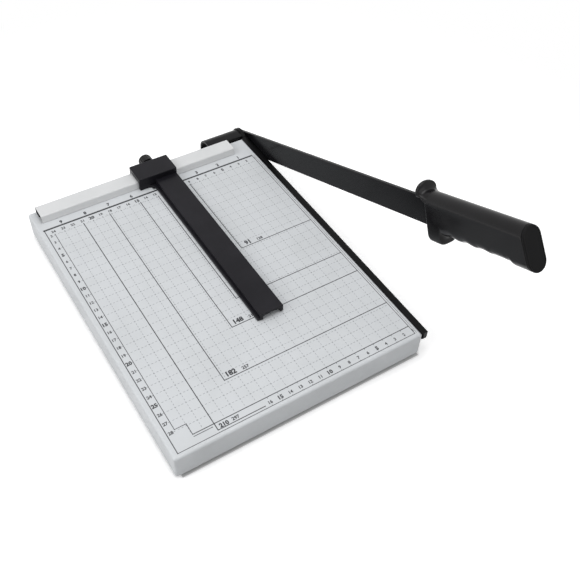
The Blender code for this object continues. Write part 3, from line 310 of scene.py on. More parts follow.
def as_mesh(shape: Shape, name: str) -> bpy.types.Mesh:
    """A welded mesh of a shape, with its faces turned outwards.

    Args:
        shape: the shape.
        name: the mesh's name.

    Returns:
        The mesh.
    """
    mesh = bpy.data.meshes.new(name)
    mesh.from_pydata(shape.points.tolist(), [], shape.faces)
    mesh.polygons.foreach_set("material_index", np.array(shape.finishes, np.int32))
    work = bmesh.new()
    work.from_mesh(mesh)
    bmesh.ops.remove_doubles(work, verts=work.verts, dist=WELD)
    bmesh.ops.dissolve_degenerate(work, edges=work.edges, dist=WELD)
    bmesh.ops.recalc_face_normals(work, faces=work.faces)
    work.to_mesh(mesh)
    work.free()
    return mesh


def placed(name: str, data: bpy.types.ID) -> bpy.types.Object:
    """Puts a new object into the scene.

    Args:
        name: its name.
        data: its mesh, curve, light or camera.

    Returns:
        The object.
    """
    item = bpy.data.objects.new(name, data)
    bpy.context.scene.collection.objects.link(item)
    return item


def evaluated(item: bpy.types.Object) -> bpy.types.Mesh:
    """A new mesh of an object, as its modifiers or its text make it."""
    graph = bpy.context.evaluated_depsgraph_get()
    return bpy.data.meshes.new_from_object(item.evaluated_get(graph))


def combined(mesh: bpy.types.Mesh, other: Shape, operation: str) -> bpy.types.Mesh:
    """A mesh joined with a shape, or with the shape taken out of it, by an exact Boolean.

    Args:
        mesh: the mesh to work on.
        other: the shape.
        operation: "UNION" or "DIFFERENCE".

    Returns:
        The new mesh.
    """
    body, tool = placed("whole", mesh), placed("tool", as_mesh(other, "tool"))
    work = body.modifiers.new("Combine", "BOOLEAN")
    work.operation = operation
    work.solver = "EXACT"
    work.object = tool
    result = evaluated(body)
    for made in (body, tool):
        bpy.data.objects.remove(made)
    return result


# Finishes


def linear(code: str) -> tuple:
    """An sRGB hex colour as linear red, green, blue and alpha.

    Args:
        code: the colour, such as "#D3D6D9".

    Returns:
        The four values.
    """
    value = np.array([int(code[i:i + 2], 16) for i in (1, 3, 5)]) / 255
    value = np.where(value <= 0.04045, value / 12.92, ((value + 0.055) / 1.055) ** 2.4)
    return (*value.tolist(), 1.0)


def fill(tree: bpy.types.NodeTree, node: bpy.types.Node, inputs: dict) -> None:
    """Sets a node's inputs.

    Args:
        tree: the node's tree.
        node: the node.
        inputs: values by socket name or number; an output socket is linked instead of set.
    """
    for key, value in inputs.items():
        if isinstance(value, bpy.types.NodeSocket):
            tree.links.new(value, node.inputs[key])
        else:
            node.inputs[key].default_value = value


def add(tree: bpy.types.NodeTree, kind: str, inputs: dict, out: str | int = 0,
        **settings: object) -> bpy.types.NodeSocket:
    """Adds a node.

    Args:
        tree: the tree that it goes into.
        kind: the node's type after "ShaderNode", such as "Bump".
        inputs: as fill takes them.
        out: name or number of the output to give back.
        settings: the node's own properties.

    Returns:
        That output.
    """
    node = tree.nodes.new("ShaderNode" + kind)
    for key, value in settings.items():
        setattr(node, key, value)
    fill(tree, node, inputs)
    return node.outputs[out]


def ramp(tree: bpy.types.NodeTree, value: bpy.types.NodeSocket, span: tuple, ends: tuple,
         kind: str = "LINEAR") -> bpy.types.NodeSocket:
    """Carries a value from one span to another, held at the ends; SMOOTHSTEP is 3 t^2 - 2 t^3."""
    limits = {"From Min": span[0], "From Max": span[1], "To Min": ends[0], "To Max": ends[1]}
    return add(tree, "MapRange", {"Value": value, **limits}, interpolation_type=kind)


def seen_ray(tree: bpy.types.NodeTree) -> bpy.types.NodeSocket:
    """One for camera, glossy and transmission rays, and zero for the rest.

    Args:
        tree: the node tree.

    Returns:
        The value's output.
    """
    rays = tree.nodes.new("ShaderNodeLightPath").outputs
    either = add(tree, "Math", {0: rays["Is Camera Ray"], 1: rays["Is Glossy Ray"]}, operation="MAXIMUM")
    return add(tree, "Math", {0: either, 1: rays["Is Transmission Ray"]}, operation="MAXIMUM")


class Grain(Enum):
    """How the small relief of a surface lies: even all round, or drawn out along one axis."""

    EVEN = (1.0, 1.0, 1.0)
    DRAWN_X = (0.06, 1.0, 1.0)
    DRAWN_Y = (1.0, 0.05, 1.0)
    DRAWN_Z = (1.0, 1.0, 0.08)


@dataclass(frozen=True)
class Finish:
    """One real surface: its colour, its gloss, and the relief and wear that show on it."""

    name: str
    slot: str  # the record's material slot
    colour: str
    worn: str
    roughness: float
    grain: float  # width of one bump of the relief, in metres
    relief: float  # height of the relief, in metres
    metallic: float = 0.0
    ior: float = 1.5
    shine: float = 0.5  # level of the clear reflection, 0.5 for a bare surface of this ior
    lie: Grain = Grain.EVEN
    patch: float = 0.045  # width of one patch of handling marks, in metres
    marks: float = 0.5  # how far the marks go towards the worn colour
    gloss_spread: float = 0.06  # change of roughness from patch to patch
    scuff: float = 0.0  # fine scratches, 0 to 1

    @cache
    def material(self) -> bpy.types.Material:
        """The finish as a material, made once.

        Relief: noise with cells one grain wide, through Bump. Marks: slow noise, sharpened, mixes the
        worn colour in and shifts the roughness. Scuffs: thin stretched noise above a threshold.

        Returns:
            The material.
        """
        made = bpy.data.materials.new(self.name)
        made.use_nodes = True
        tree = made.node_tree
        place = add(tree, "TexCoord", {}, "Object")
        lie = add(tree, "Mapping", {"Vector": place, "Scale": self.lie.value})
        fine = add(tree, "TexNoise",
                   {"Vector": lie, "Scale": 1 / self.grain, "Detail": 3.0, "Roughness": 0.55})
        slow = add(tree, "TexNoise",
                   {"Vector": place, "Scale": 1 / self.patch, "Detail": 5.0, "Roughness": 0.62})
        mark = ramp(tree, slow, MARK_BAND, (0.0, self.marks))
        if self.scuff > 0:
            tilt = add(tree, "Mapping", {"Vector": place, "Rotation": SCUFF_TURN, "Scale": SCUFF_STRETCH})
            streaks = add(tree, "TexNoise", {"Vector": tilt, "Scale": SCUFFS, "Detail": 1.0})
            thin = ramp(tree, streaks, SCUFF_BAND, (0.0, self.scuff))
            mark = add(tree, "Math", {0: mark, 1: thin}, operation="MAXIMUM")
        # Mix has sockets of one name for each kind of data, so the colour ones go by number.
        blend = {0: mark, 6: linear(self.colour), 7: linear(self.worn)}
        gloss = (self.roughness - self.gloss_spread, self.roughness + self.gloss_spread)
        fill(tree, tree.nodes["Principled BSDF"], {
            "Metallic": self.metallic, "IOR": self.ior, "Specular IOR Level": self.shine,
            "Base Color": add(tree, "Mix", blend, 2, data_type="RGBA"),
            "Roughness": ramp(tree, slow, GLOSS_BAND, gloss),
            "Normal": add(tree, "Bump", {"Height": fine, "Strength": 1.0, "Distance": self.relief})})
        return made


class Look:
    """Every finish on the cutter."""

    # Polyester powder coat on folded steel: light grey, satin, with the soft ripple of sprayed paint.
    BOARD = Finish("powder_coat_light_grey", "tray_paint", "#D3D6D9", "#C9CCCE", 0.44, 0.0011, 0.000010,
                   scuff=0.25)
    # The same coat on the rail, a shade lighter and smoother.
    RAIL = Finish("powder_coat_rail_grey", "rail_paint", "#DCDDDE", "#D0D2D3", 0.38, 0.0010, 0.000008,
                  scuff=0.2)
    # Phosphated steel inside the rail and on its cut ends, which the coat does not reach: near black, partly
    # the bare steel's own tone and partly painted shade for the open end of the channel.
    PHOSPHATE = Finish("phosphate_and_painted_shade", "rail_paint", "#0E0E0F", "#1A1A1B", 0.6, 0.0004, 0.000006,
                       shine=0.2)
    # Stoved black enamel on steel: semi-gloss with fine orange peel, greying where it is handled.
    ENAMEL = Finish("stoved_black_enamel", "black_paint", "#0E0E10", "#1A1A1C", 0.24, 0.0010, 0.000004,
                    shine=0.125, scuff=0.5, marks=0.6)
    # Ground tool steel: bright, with grinding lines across the edge.
    GROUND = Finish("ground_tool_steel", "black_paint", "#B9BBBD", "#8E9092", 0.26, 0.00016, 0.000002,
                    metallic=1.0, lie=Grain.DRAWN_Z, gloss_spread=0.08)
    # Injection-moulded ABS with a polished mould: black and glossy, dulled by hands in patches.
    GLOSS_PLASTIC = Finish("moulded_abs_gloss_black", "handle_plastic", "#0D0C0E", "#171618", 0.20, 0.0024,
                           0.000004, shine=0.24, marks=0.4, gloss_spread=0.05, patch=0.02, scuff=0.3)
    # Black oxide on the fixed blade: a thin oiled coat, darker than the arm's enamel.
    OXIDE = Finish("black_oxide_steel", "black_paint", "#070708", "#111112", 0.34, 0.0008, 0.000003,
                   shine=0.10, scuff=0.3)
    # The same ABS with a matt face, on the end of the grip.
    MATT_PLASTIC = Finish("moulded_abs_matt_black", "handle_plastic", "#0B0B0C", "#151516", 0.50, 0.0006,
                          0.000006, shine=0.12, marks=0.4, patch=0.02)
    # Injection-moulded ABS with a fine spark-eroded mould: black, satin, lightly pebbled.
    SATIN_PLASTIC = Finish("moulded_abs_satin_black", "gauge_plastic", "#17161B", "#222126", 0.34, 0.00045,
                           0.000006, shine=0.16, patch=0.03, scuff=0.4)
    # Nitrile rubber: dead matt with talc in its pores.
    RUBBER = Finish("nitrile_rubber_black", "rubber", "#161616", "#2C2C2B", 0.86, 0.00035, 0.00002,
                    patch=0.006)
    # Zinc-plated steel: bluish bright and slightly clouded.
    ZINC = Finish("zinc_plated_steel", "zinc_steel", "#B7BBC2", "#8F959C", 0.33, 0.0003, 0.000004,
                  metallic=1.0, patch=0.005, gloss_spread=0.1)
    # Oiled spring steel: dark drawn wire.
    WIRE = Finish("oiled_spring_steel", "spring_steel", "#7C7E84", "#55575B", 0.28, 0.0002, 0.000003,
                  metallic=1.0, lie=Grain.DRAWN_X, patch=0.004)
    # Turned brass: yellow, with tool marks.
    BRASS = Finish("turned_brass", "brass", "#C9A256", "#8D6F38", 0.30, 0.00018, 0.000003, metallic=1.0,
                   lie=Grain.DRAWN_Y, patch=0.004)
    # Screen-printed ink: dark grey and matt.
    INK = Finish("screen_print_ink", "tray_paint", "#2E2F32", "#4A4B4F", 0.62, 0.00025, 0.000004, patch=0.012,
                 marks=0.8)
    # The finer ink of the dashed grid reads lighter, as its dots of ink do on the board.
    PALE_INK = Finish("screen_print_ink_fine", "tray_paint", "#7A7D81", "#92959A", 0.62, 0.00025, 0.000004,
                      patch=0.012, marks=0.8)


def piece(name: str, made: Shape | bpy.types.Mesh, finishes: list, *nodes: str, body: str = "base",
          sharp: float = 35.0) -> None:
    """Puts a finished piece into the scene, with its finishes as its materials.

    Args:
        name: the piece's name.
        made: its shape, or its mesh.
        finishes: its finishes, in the order of the shape's.
        nodes: the frame's nodes that it stands for.
        body: the body that it rides on.
        sharp: edges that turn by more than this many degrees stay sharp.
    """
    mesh = as_mesh(made, name) if isinstance(made, Shape) else made
    mesh.name = name
    for finish in finishes:
        mesh.materials.append(finish.material())
    mesh.shade_smooth()
    mesh.set_sharp_from_angle(angle=math.radians(sharp))
    item = placed(name, mesh)
    flats = item.modifiers.new("Weighted normals", "WEIGHTED_NORMAL")  # keeps broad faces flat beside rims
    flats.keep_sharp = True
    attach(item, body)
    if nodes:
        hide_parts(*nodes)
    log.info("%s: %d faces, on %s", name, len(mesh.polygons), body)


# The board


@dataclass
class Board:
    """The folded tray with its printed grid and rulers."""

    left: float = 0.2533
    right: float = 0.0040
    front: float = 0.3040
    back: float = 0.0220
    height: float = 0.0275
    sheet: float = 0.0010
    fold: float = 0.0025
    lip: float = 0.0200
    least_corner: float = 0.00005
    origin: Vector = field(default_factory=Vector)

    def __post_init__(self) -> None:
        """Finds the cutter's own frame from the tray's box."""
        _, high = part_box("base_tray")
        self.origin = Vector((high[0] + self.right, high[1] - self.back, high[2]))

    def at(self, x: float, y: float, z: float) -> Vector:
        """A point of the cutter's own frame, in the frame."""
        return self.origin + Vector((x, y, z))

    def place(self, shape: Shape) -> Shape:
        """A shape drawn in the cutter's frame, carried to the frame's place."""
        return shape.turned_by(Matrix.Translation(self.origin))

    def tray(self) -> Shape:
        """The folded tray.

        A section runs from the top over the fold, down the wall, round the lower fold and along the lip,
        then back inside by the sheet's thickness. Each of its points (d, z) is carried round a rectangle
        inset by d, whose corner radius is fold - d, so the folds meet in round corners.

        Returns:
            The tray.
        """
        bottom = -self.height
        outer = np.concatenate([
            arc((self.fold, -self.fold), self.fold, 90, 180, 6),
            arc((self.fold, bottom + self.fold), self.fold, 180, 270, 6),
            [(self.lip, bottom)],
        ])
        section = folded_sheet(outer, -self.sheet)
        rings = []
        for inset, z in section:
            corner = max(self.fold - inset, self.least_corner)
            low, high = (-self.left + inset, -self.front + inset), (-self.right - inset, self.back - inset)
            loop = box_loop(low, high, corner, 6)
            rings.append(np.column_stack([loop, np.full(len(loop), z)]))
        return self.place(loft(np.array(rings)))


class Stroke(Enum):
    """Widths of the printed lines, in metres."""

    FINE = 0.00028
    THIN = 0.00055
    PLAIN = 0.00075
    HEAVY = 0.00200


@dataclass
class Print:
    """The ink on the board: rulers, numerals, paper outlines and a dashed grid of ten millimetres."""

    board: Board
    left: float = -0.2476
    right: float = -0.0102
    bottom: float = -0.2996
    top_line: float = -0.0097
    top_line_short: float = 0.0008  # heavy line's end to the frame's right line
    tick_row: float = -0.0185
    low_row: float = -0.2900
    column: float = -0.2400
    margin: float = -0.0082
    box: tuple = (-0.2294, -0.2785)
    box_foot: tuple = (-0.2125, 0.0022)  # end of the line under the box, and its step below the low row
    sheets: tuple = ((0.210, 0.297), (0.182, 0.257), (0.148, 0.210), (0.128, 0.182), (0.091, 0.128))
    first_end: float = -0.1655  # right end of the first sheet's lower line
    centimetre: float = 0.010
    inch: float = 0.0254
    across: range = range(1, 25)  # centimetres on the upper ruler
    low_marks: range = range(1, 17)  # and on the lower one
    down: range = range(2, 29)  # and on the left one
    centimetre_ticks: tuple = (-0.0016, -0.0026)
    half_tick: float = 0.0010
    side_tick: float = 0.0014
    inch_ticks: tuple = (0.0014, 0.0022)
    dash: float = 0.0015
    dash_start: float = -0.0200
    dash_short: float = 0.0020  # last dash to the ruler beyond it
    dash_nudge: float = 0.0001
    numeral: tuple = (0.0031, 0.0039)  # height, plain and bold
    weight: tuple = (0.046, 0.066)  # how far the strokes are thickened, per height
    digit: float = 0.72  # height of a digit per size of its type
    centimetre_numbers: float = -0.0148
    inch_numbers: float = -0.0050
    side_numbers: float = -0.2440
    low_numbers: tuple = (0.0003, -0.2956)
    # For the first sheet and for the others: place from its corner, bold, height, of width and length.
    labels: tuple = (((0.0070, 0.0028, True, 0.0040), (0.0180, 0.0032, False, 0.0032)),
                     ((0.0090, 0.0045, True, 0.0050), (0.0225, 0.0034, False, 0.0032)))

    def bars(self, ends: list, stroke: Stroke) -> Shape:
        """Straight lines of ink: each pair of ends grown by half the width, as a slab between two heights.

        Args:
            ends: (x, y, x, y) of each line.
            stroke: their width.

        Returns:
            The slabs.
        """
        ends = np.array(ends, float)
        low = np.minimum(ends[:, :2], ends[:, 2:]) - stroke.value / 2
        high = np.maximum(ends[:, :2], ends[:, 2:]) + stroke.value / 2
        rise, top = np.full(len(ends), INK_RISE), np.full(len(ends), INK_TOP)
        return slabs(np.column_stack([low, rise]), np.column_stack([high, top]))

    def ticks(self, marks: range, step: float, base: float, sizes: tuple, every: int = 5,
              shift: float = 0.0) -> list:
        """Ends of upright ticks at the marks, long where the number divides by every."""
        places = [(-mark * step - shift, base + sizes[mark % every == 0]) for mark in marks]
        return [(x, base, x, end) for x, end in places]

    def lines(self) -> Shape:
        """The frame, the rulers' lines and ticks, and the outlines of the paper sizes.

        Returns:
            The ink.
        """
        box_x, box_y = self.box
        foot_x, foot_y = self.box_foot[0], self.low_row - self.box_foot[1]
        step, low, half = self.centimetre, self.low_row, self.half_tick
        plain = [(self.left, self.top_line, self.left, self.bottom), (box_x, low, self.right, low)]
        for number, (width, length) in enumerate(self.sheets):
            end = self.right if number else self.first_end
            plain += [(-width, self.tick_row, -width, -length), (-width, -length, end, -length)]
        thin = [(self.left, self.bottom, self.right, self.bottom),
                (self.right, self.bottom, self.right, self.top_line),
                (self.column, self.tick_row, self.column, box_y), (self.column, box_y, box_x, box_y),
                (box_x, box_y, box_x, low), (box_x, foot_y, foot_x, foot_y)]
        heavy = [(self.left, self.top_line, self.right - self.top_line_short, self.top_line)]
        fine = [(self.margin, self.top_line, self.margin, self.bottom)]
        fine += [(self.column, -mark * step, self.column - self.side_tick, -mark * step)
                 for mark in self.down]
        fine += self.ticks(self.across, step, self.tick_row, self.centimetre_ticks)
        fine += self.ticks(self.across[:-1], step, self.tick_row, (-half, -half), shift=step / 2)
        fine += self.ticks(self.low_marks, step, low, (-self.side_tick, -self.side_tick))
        fine += self.ticks(self.low_marks, step, self.bottom, (half, half))
        fine += self.ticks(range(2, 19), self.inch / 2, self.top_line, self.inch_ticks, 2)
        kinds = ((plain, Stroke.PLAIN), (thin, Stroke.THIN), (heavy, Stroke.HEAVY), (fine, Stroke.FINE))
        return self.board.place(united([self.bars(ends, stroke) for ends, stroke in kinds]))

    def grid(self) -> Shape:
        """The dashed grid: lines at every centimetre, each a row of dashes with a gap longer than a dash.

        Returns:
            The ink.
        """
        period = self.centimetre / 3
        runs = []
        for level, marks, end, shift, nudge in (
                (False, self.across[1:-1], self.low_row, 0.0, self.dash_nudge),
                (True, self.down, self.column, 2 * period, 0.0)):
            starts = np.arange(self.dash_start + shift + self.dash / 2, end + self.dash_short, -period)
            for mark in marks:
                at = np.full_like(starts, nudge - mark * self.centimetre)
                ends = (starts, at, starts - self.dash, at) if level else (at, starts, at, starts - self.dash)
                runs.append(np.column_stack(ends))
        return self.board.place(self.bars(np.concatenate(runs), Stroke.FINE))

    def words(self) -> list:
        """The numbers on the rulers and at the paper outlines.

        Returns:
            For each its text, place, whether it is bold, and its height or zero for the rulers' own.
        """
        step, (shift, low) = self.centimetre, self.low_numbers
        words = [(mark, -mark * step, self.centimetre_numbers, mark % 5 == 0, 0.0) for mark in self.across]
        words += [(mark, -mark * self.inch, self.inch_numbers, True, 0.0) for mark in range(1, 10)]
        words += [(mark, self.side_numbers, -mark * step, mark % 5 == 0, 0.0) for mark in self.down]
        words += [(mark, -mark * step + shift, low, mark % 5 == 0, 0.0) for mark in self.low_marks]
        for number, sheet in enumerate(self.sheets):
            for length, (x, y, bold, size) in zip(sheet, self.labels[min(number, 1)]):
                words.append((round(length * 1000), x - sheet[0], y - sheet[1], bold, size))
        return words

    def numerals(self) -> Shape:
        """Every number as a thin plate of ink, cut from Blender's own type and set by its middle.

        Returns:
            The ink.
        """
        shapes = []
        curve = bpy.data.curves.new("numeral", "FONT")
        curve.extrude = (INK_TOP - INK_RISE) / 2
        curve.resolution_u = 2
        writer = placed("numeral", curve)
        for word, x, y, bold, size in self.words():
            size = size or self.numeral[bold]
            curve.body = str(word)
            curve.size = size / self.digit
            curve.offset = size * self.weight[bold]
            mesh = evaluated(writer)
            points = np.empty(len(mesh.vertices) * 3, np.float32)
            mesh.vertices.foreach_get("co", points)
            points = points.reshape(-1, 3).astype(float)
            middle = (points.min(axis=0) + points.max(axis=0)) / 2
            points += (x, y, (INK_RISE + INK_TOP) / 2) - middle
            shapes.append(Shape(points, [list(face.vertices) for face in mesh.polygons]))
            bpy.data.meshes.remove(mesh)
        bpy.data.objects.remove(writer)
        bpy.data.curves.remove(curve)
        return self.board.place(united(shapes))

    def build(self) -> None:
        """Lays the lines, the grid and the numbers on the board."""
        piece("printed_lines", self.lines(), [Look.INK])
        piece("printed_grid", self.grid(), [Look.PALE_INK])
        piece("printed_numerals", self.numerals(), [Look.INK])


# Guide rail


@dataclass
class Rail:
    """The folded channel that the gauge slides on."""

    board: Board
    left: float = -0.2450
    right: float = -0.0257
    front: float = 0.0013
    depth: float = 0.0185
    height: float = 0.0078
    sheet: float = 0.0012
    bend: float = 0.0018
    lean: float = 11.0  # degrees that the front wall leans back
    foot: float = 0.0085
    corner: float = 0.0013  # of the back bends
    coated: range = range(1, 4)  # bands of plate() between the cut ends

    def channel(self) -> Shape:
        """The section of the sheet, from the front foot over both bends to the flange, carried along X.

        Returns:
            The channel, its coated faces in the first finish.
        """
        back = self.front + self.depth
        corner = self.corner
        # The front wall is the tangent from its foot to the bend's circle, so the bend's centre lies
        # (radius + rise * sin(lean)) / cos(lean) behind the foot.
        turn, rise = math.radians(self.lean), self.height - self.bend - GAP
        behind = (self.bend + rise * math.sin(turn)) / math.cos(turn)
        path = np.concatenate([
            [(self.front, GAP)],
            arc((self.front + behind, self.height - self.bend), self.bend, 180 - self.lean, 90, 8),
            arc((back - corner, self.height - corner), corner, 90, 0, 6),
            arc((back - corner, GAP + corner), corner, 0, -90, 6),
            [(back - self.foot, GAP)],
        ])
        section = folded_sheet(path, self.sheet)
        made = plate(section, self.left, self.right, Axis.X, 0.00015, 2)
        count, outside = len(section), len(path) - 1
        # plate() may turn the section round, so the painted sides are found again by their order in it.
        start = 0 if np.allclose(anticlockwise(section)[0], section[0]) else count - 1 - outside
        for face, corners in enumerate(made.faces):
            painted = len(corners) == 4 and start <= face % count < start + outside
            # faces that the coat leaves bare take the near-black finish, which also paints the shade inside
            # the open end
            made.finishes[face] = int(not painted or face // count not in self.coated)
        return self.board.place(made)


# Cutting bar and pivot housing


@dataclass
class CuttingBar:
    """The fixed bar that the blade passes, with the round ear of the pivot."""

    board: Board
    inner: float = -0.0037
    face: float = 0.0012
    proud: float = 0.0010
    drop: float = 0.0100
    front: float = 0.3045
    corner: float = 0.0035
    ear: float = 0.0156
    arris: float = 0.0009
    lip: float = -0.0060
    lip_under: float = 0.0015  # of the lip, inside the bar
    lip_top: float = 0.0008
    lip_corner: float = 0.0006
    lip_rim: float = 0.0002

    def bar(self) -> Shape:
        """The side outline, level from the front and round the ear, carried along X with rounded rims.

        Returns:
            The bar and its lip over the board.
        """
        top = math.degrees(math.asin((self.proud - PIVOT[1]) / self.ear))
        low = math.degrees(math.asin((-PIVOT[1] - self.drop) / self.ear))
        corner = (-self.front + self.corner, -self.drop + self.corner)
        outline = np.concatenate([
            [(-self.front, self.proud)],
            arc(corner, self.corner, 180, 270, 6),
            arc(PIVOT, self.ear, 180 - low, 540 - top, 56),
        ])
        bar = plate(outline, self.inner, self.face, Axis.X, self.arris, 4)
        low = (self.lip, -self.front + self.lip_rim)
        high = (self.inner + self.lip_under, self.board.back - GAP)
        lip = plate(box_loop(low, high, self.lip_corner), GAP, self.lip_top, Axis.Z, self.lip_rim, 2)
        return self.board.place(united([bar, lip]))


@dataclass
class PivotHousing:
    """The sheet cover over the pivot, open at its left end and below."""

    board: Board
    left: float = -0.0455
    right: float = -0.0040
    sheet: float = 0.0020
    barrel: float = 0.0144
    bottom: float = -0.0235
    front: float = 0.0223
    bends: tuple = (0.0012, 0.0002)  # of its outer and inner face
    rims: tuple = (0.0003, 0.0002)  # of the wall and of the end
    end_short: float = 0.0001  # end plate's face to the wall's

    def outline(self, inset: float) -> np.ndarray:
        """Front wall, top, a quarter barrel over the pivot and the back wall.

        Args:
            inset: how far they are moved in.

        Returns:
            (points, 2), from the front foot to the back one.
        """
        radius = self.barrel - inset
        front = self.front + inset
        bend = self.bends[inset > 0]
        top = PIVOT[1] + radius
        return np.concatenate([
            [(front, self.bottom)],
            arc((front + bend, top - bend), bend, 180, 90, 4),
            arc(PIVOT, radius, 90, 0, 18),
            [(PIVOT[0] + radius, self.bottom)],
        ])

    def cover(self) -> Shape:
        """The bent wall as a closed section carried along X, and the end plate that the bolt passes.

        Returns:
            The cover.
        """
        section = np.concatenate([self.outline(0), self.outline(self.sheet)[::-1]])
        wall = plate(section, self.left, self.right, Axis.X, self.rims[0], 2)
        end = plate(self.outline(self.sheet / 2), self.right - self.sheet, self.right - self.end_short,
                    Axis.X, self.rims[1], 2)
        return self.board.place(united([wall, end]))


# Fasteners, washers and the spring


class Screw(Enum):
    """Shank radius, head radius and head height of each kind of screw."""

    FOOT = (0.0013, 0.0030, 0.0009)
    BAR = (0.0020, 0.0030, 0.0020)
    SHEET = (0.0015, 0.0028, 0.0018)
    HANDLE = (0.0020, 0.0036, 0.0022)


def hexagon(corner: float, sides: int) -> np.ndarray:
    """Radius at each side of a hexagon: its flat's distance over the cosine of the angle to it."""
    off = (around(sides) + math.pi / 6) % (math.pi / 3) - math.pi / 6
    return corner * math.cos(math.pi / 6) / np.cos(off)


def cross(width: float, reach: float, sides: int) -> np.ndarray:
    """Radius at each side of a plus-shaped recess: the end of its arm, or its arm's flank."""
    off = np.abs((around(sides) + math.pi / 4) % (math.pi / 2) - math.pi / 4)
    return np.minimum(reach / np.cos(off), width / np.maximum(np.sin(off), 1e-6))


def thread(crest: float, cut: float, start: float, pitch: float, count: int) -> list:
    """Profile points of a thread: its crest and its root by turns, from start on."""
    return [(crest - cut * (i % 2), start + pitch * i) for i in range(count)]


def pan_screw(kind: Screw, length: float, centre: Vector, facing: str) -> Shape:
    """A pan-headed screw with a cross recess.

    The head is a quarter ellipse over an upright rim: r = head * sin t, h = rim + (height - rim) * cos t.

    Args:
        kind: its sizes.
        length: of the shank.
        centre: middle of the head's underside.
        facing: the way the head looks, such as "-X".

    Returns:
        The screw.
    """
    shank, head, height = kind.value
    sides, pitch, run_out, ease = 48, 0.00025, 0.0006, 0.0001
    rim, deep = height * 0.3, height * 0.35
    plus = cross(head * 0.13, head * 0.52, sides)
    turns = thread(shank, 0.08 * shank, -length + run_out, pitch, int((length - 2 * run_out) / pitch))
    profile = [(0, -length), (shank * 0.6, -length), *turns, (shank, 0), (head - ease, 0), (head, ease)]
    profile += [(head * math.sin(t), rim + (height - rim) * math.cos(t))
                for t in np.radians((90, 75, 60, 47, 36))]
    profile += [(plus, height * 0.97), (plus * 0.8, deep), (0, deep - ease)]
    return spun(profile, centre, facing, sides)


def washer(bore: float, rim: float, thickness: float, centre: Vector, facing: str) -> Shape:
    """A flat ring with eased rims.

    Args:
        bore: radius of its hole.
        rim: outer radius.
        thickness: from face to face.
        centre: middle of its lower face.
        facing: the way to the upper face.

    Returns:
        The ring.
    """
    ease = min(0.00015, thickness / 4)
    profile = [(bore, 0), (rim - ease, 0), (rim, ease), (rim, thickness - ease), (rim - ease, thickness),
               (bore, thickness)]
    return spun(profile, centre, facing, 64)


def hex_nut(bore: float, corner: float, height: float, centre: Vector, facing: str) -> Shape:
    """A hexagon nut, its corners cut back by a cone of 30 degrees at both faces.

    Args:
        bore: radius of its hole.
        corner: middle to a corner.
        height: from face to face.
        centre: middle of its lower face.
        facing: the way to the upper face.

    Returns:
        The nut.
    """
    sides, sink = 72, bore * 0.12
    face = corner * math.cos(math.pi / 6) * 0.98
    radius = hexagon(corner, sides)
    drop = (radius - face) * math.tan(math.radians(30))
    ring = np.minimum(radius, face)
    profile = [(bore, sink), (bore * 1.12, 0), (ring, 0), (radius, drop), (radius, height - drop),
               (ring, height), (bore * 1.12, height), (bore, height - sink)]
    return spun(profile, centre, facing, sides)


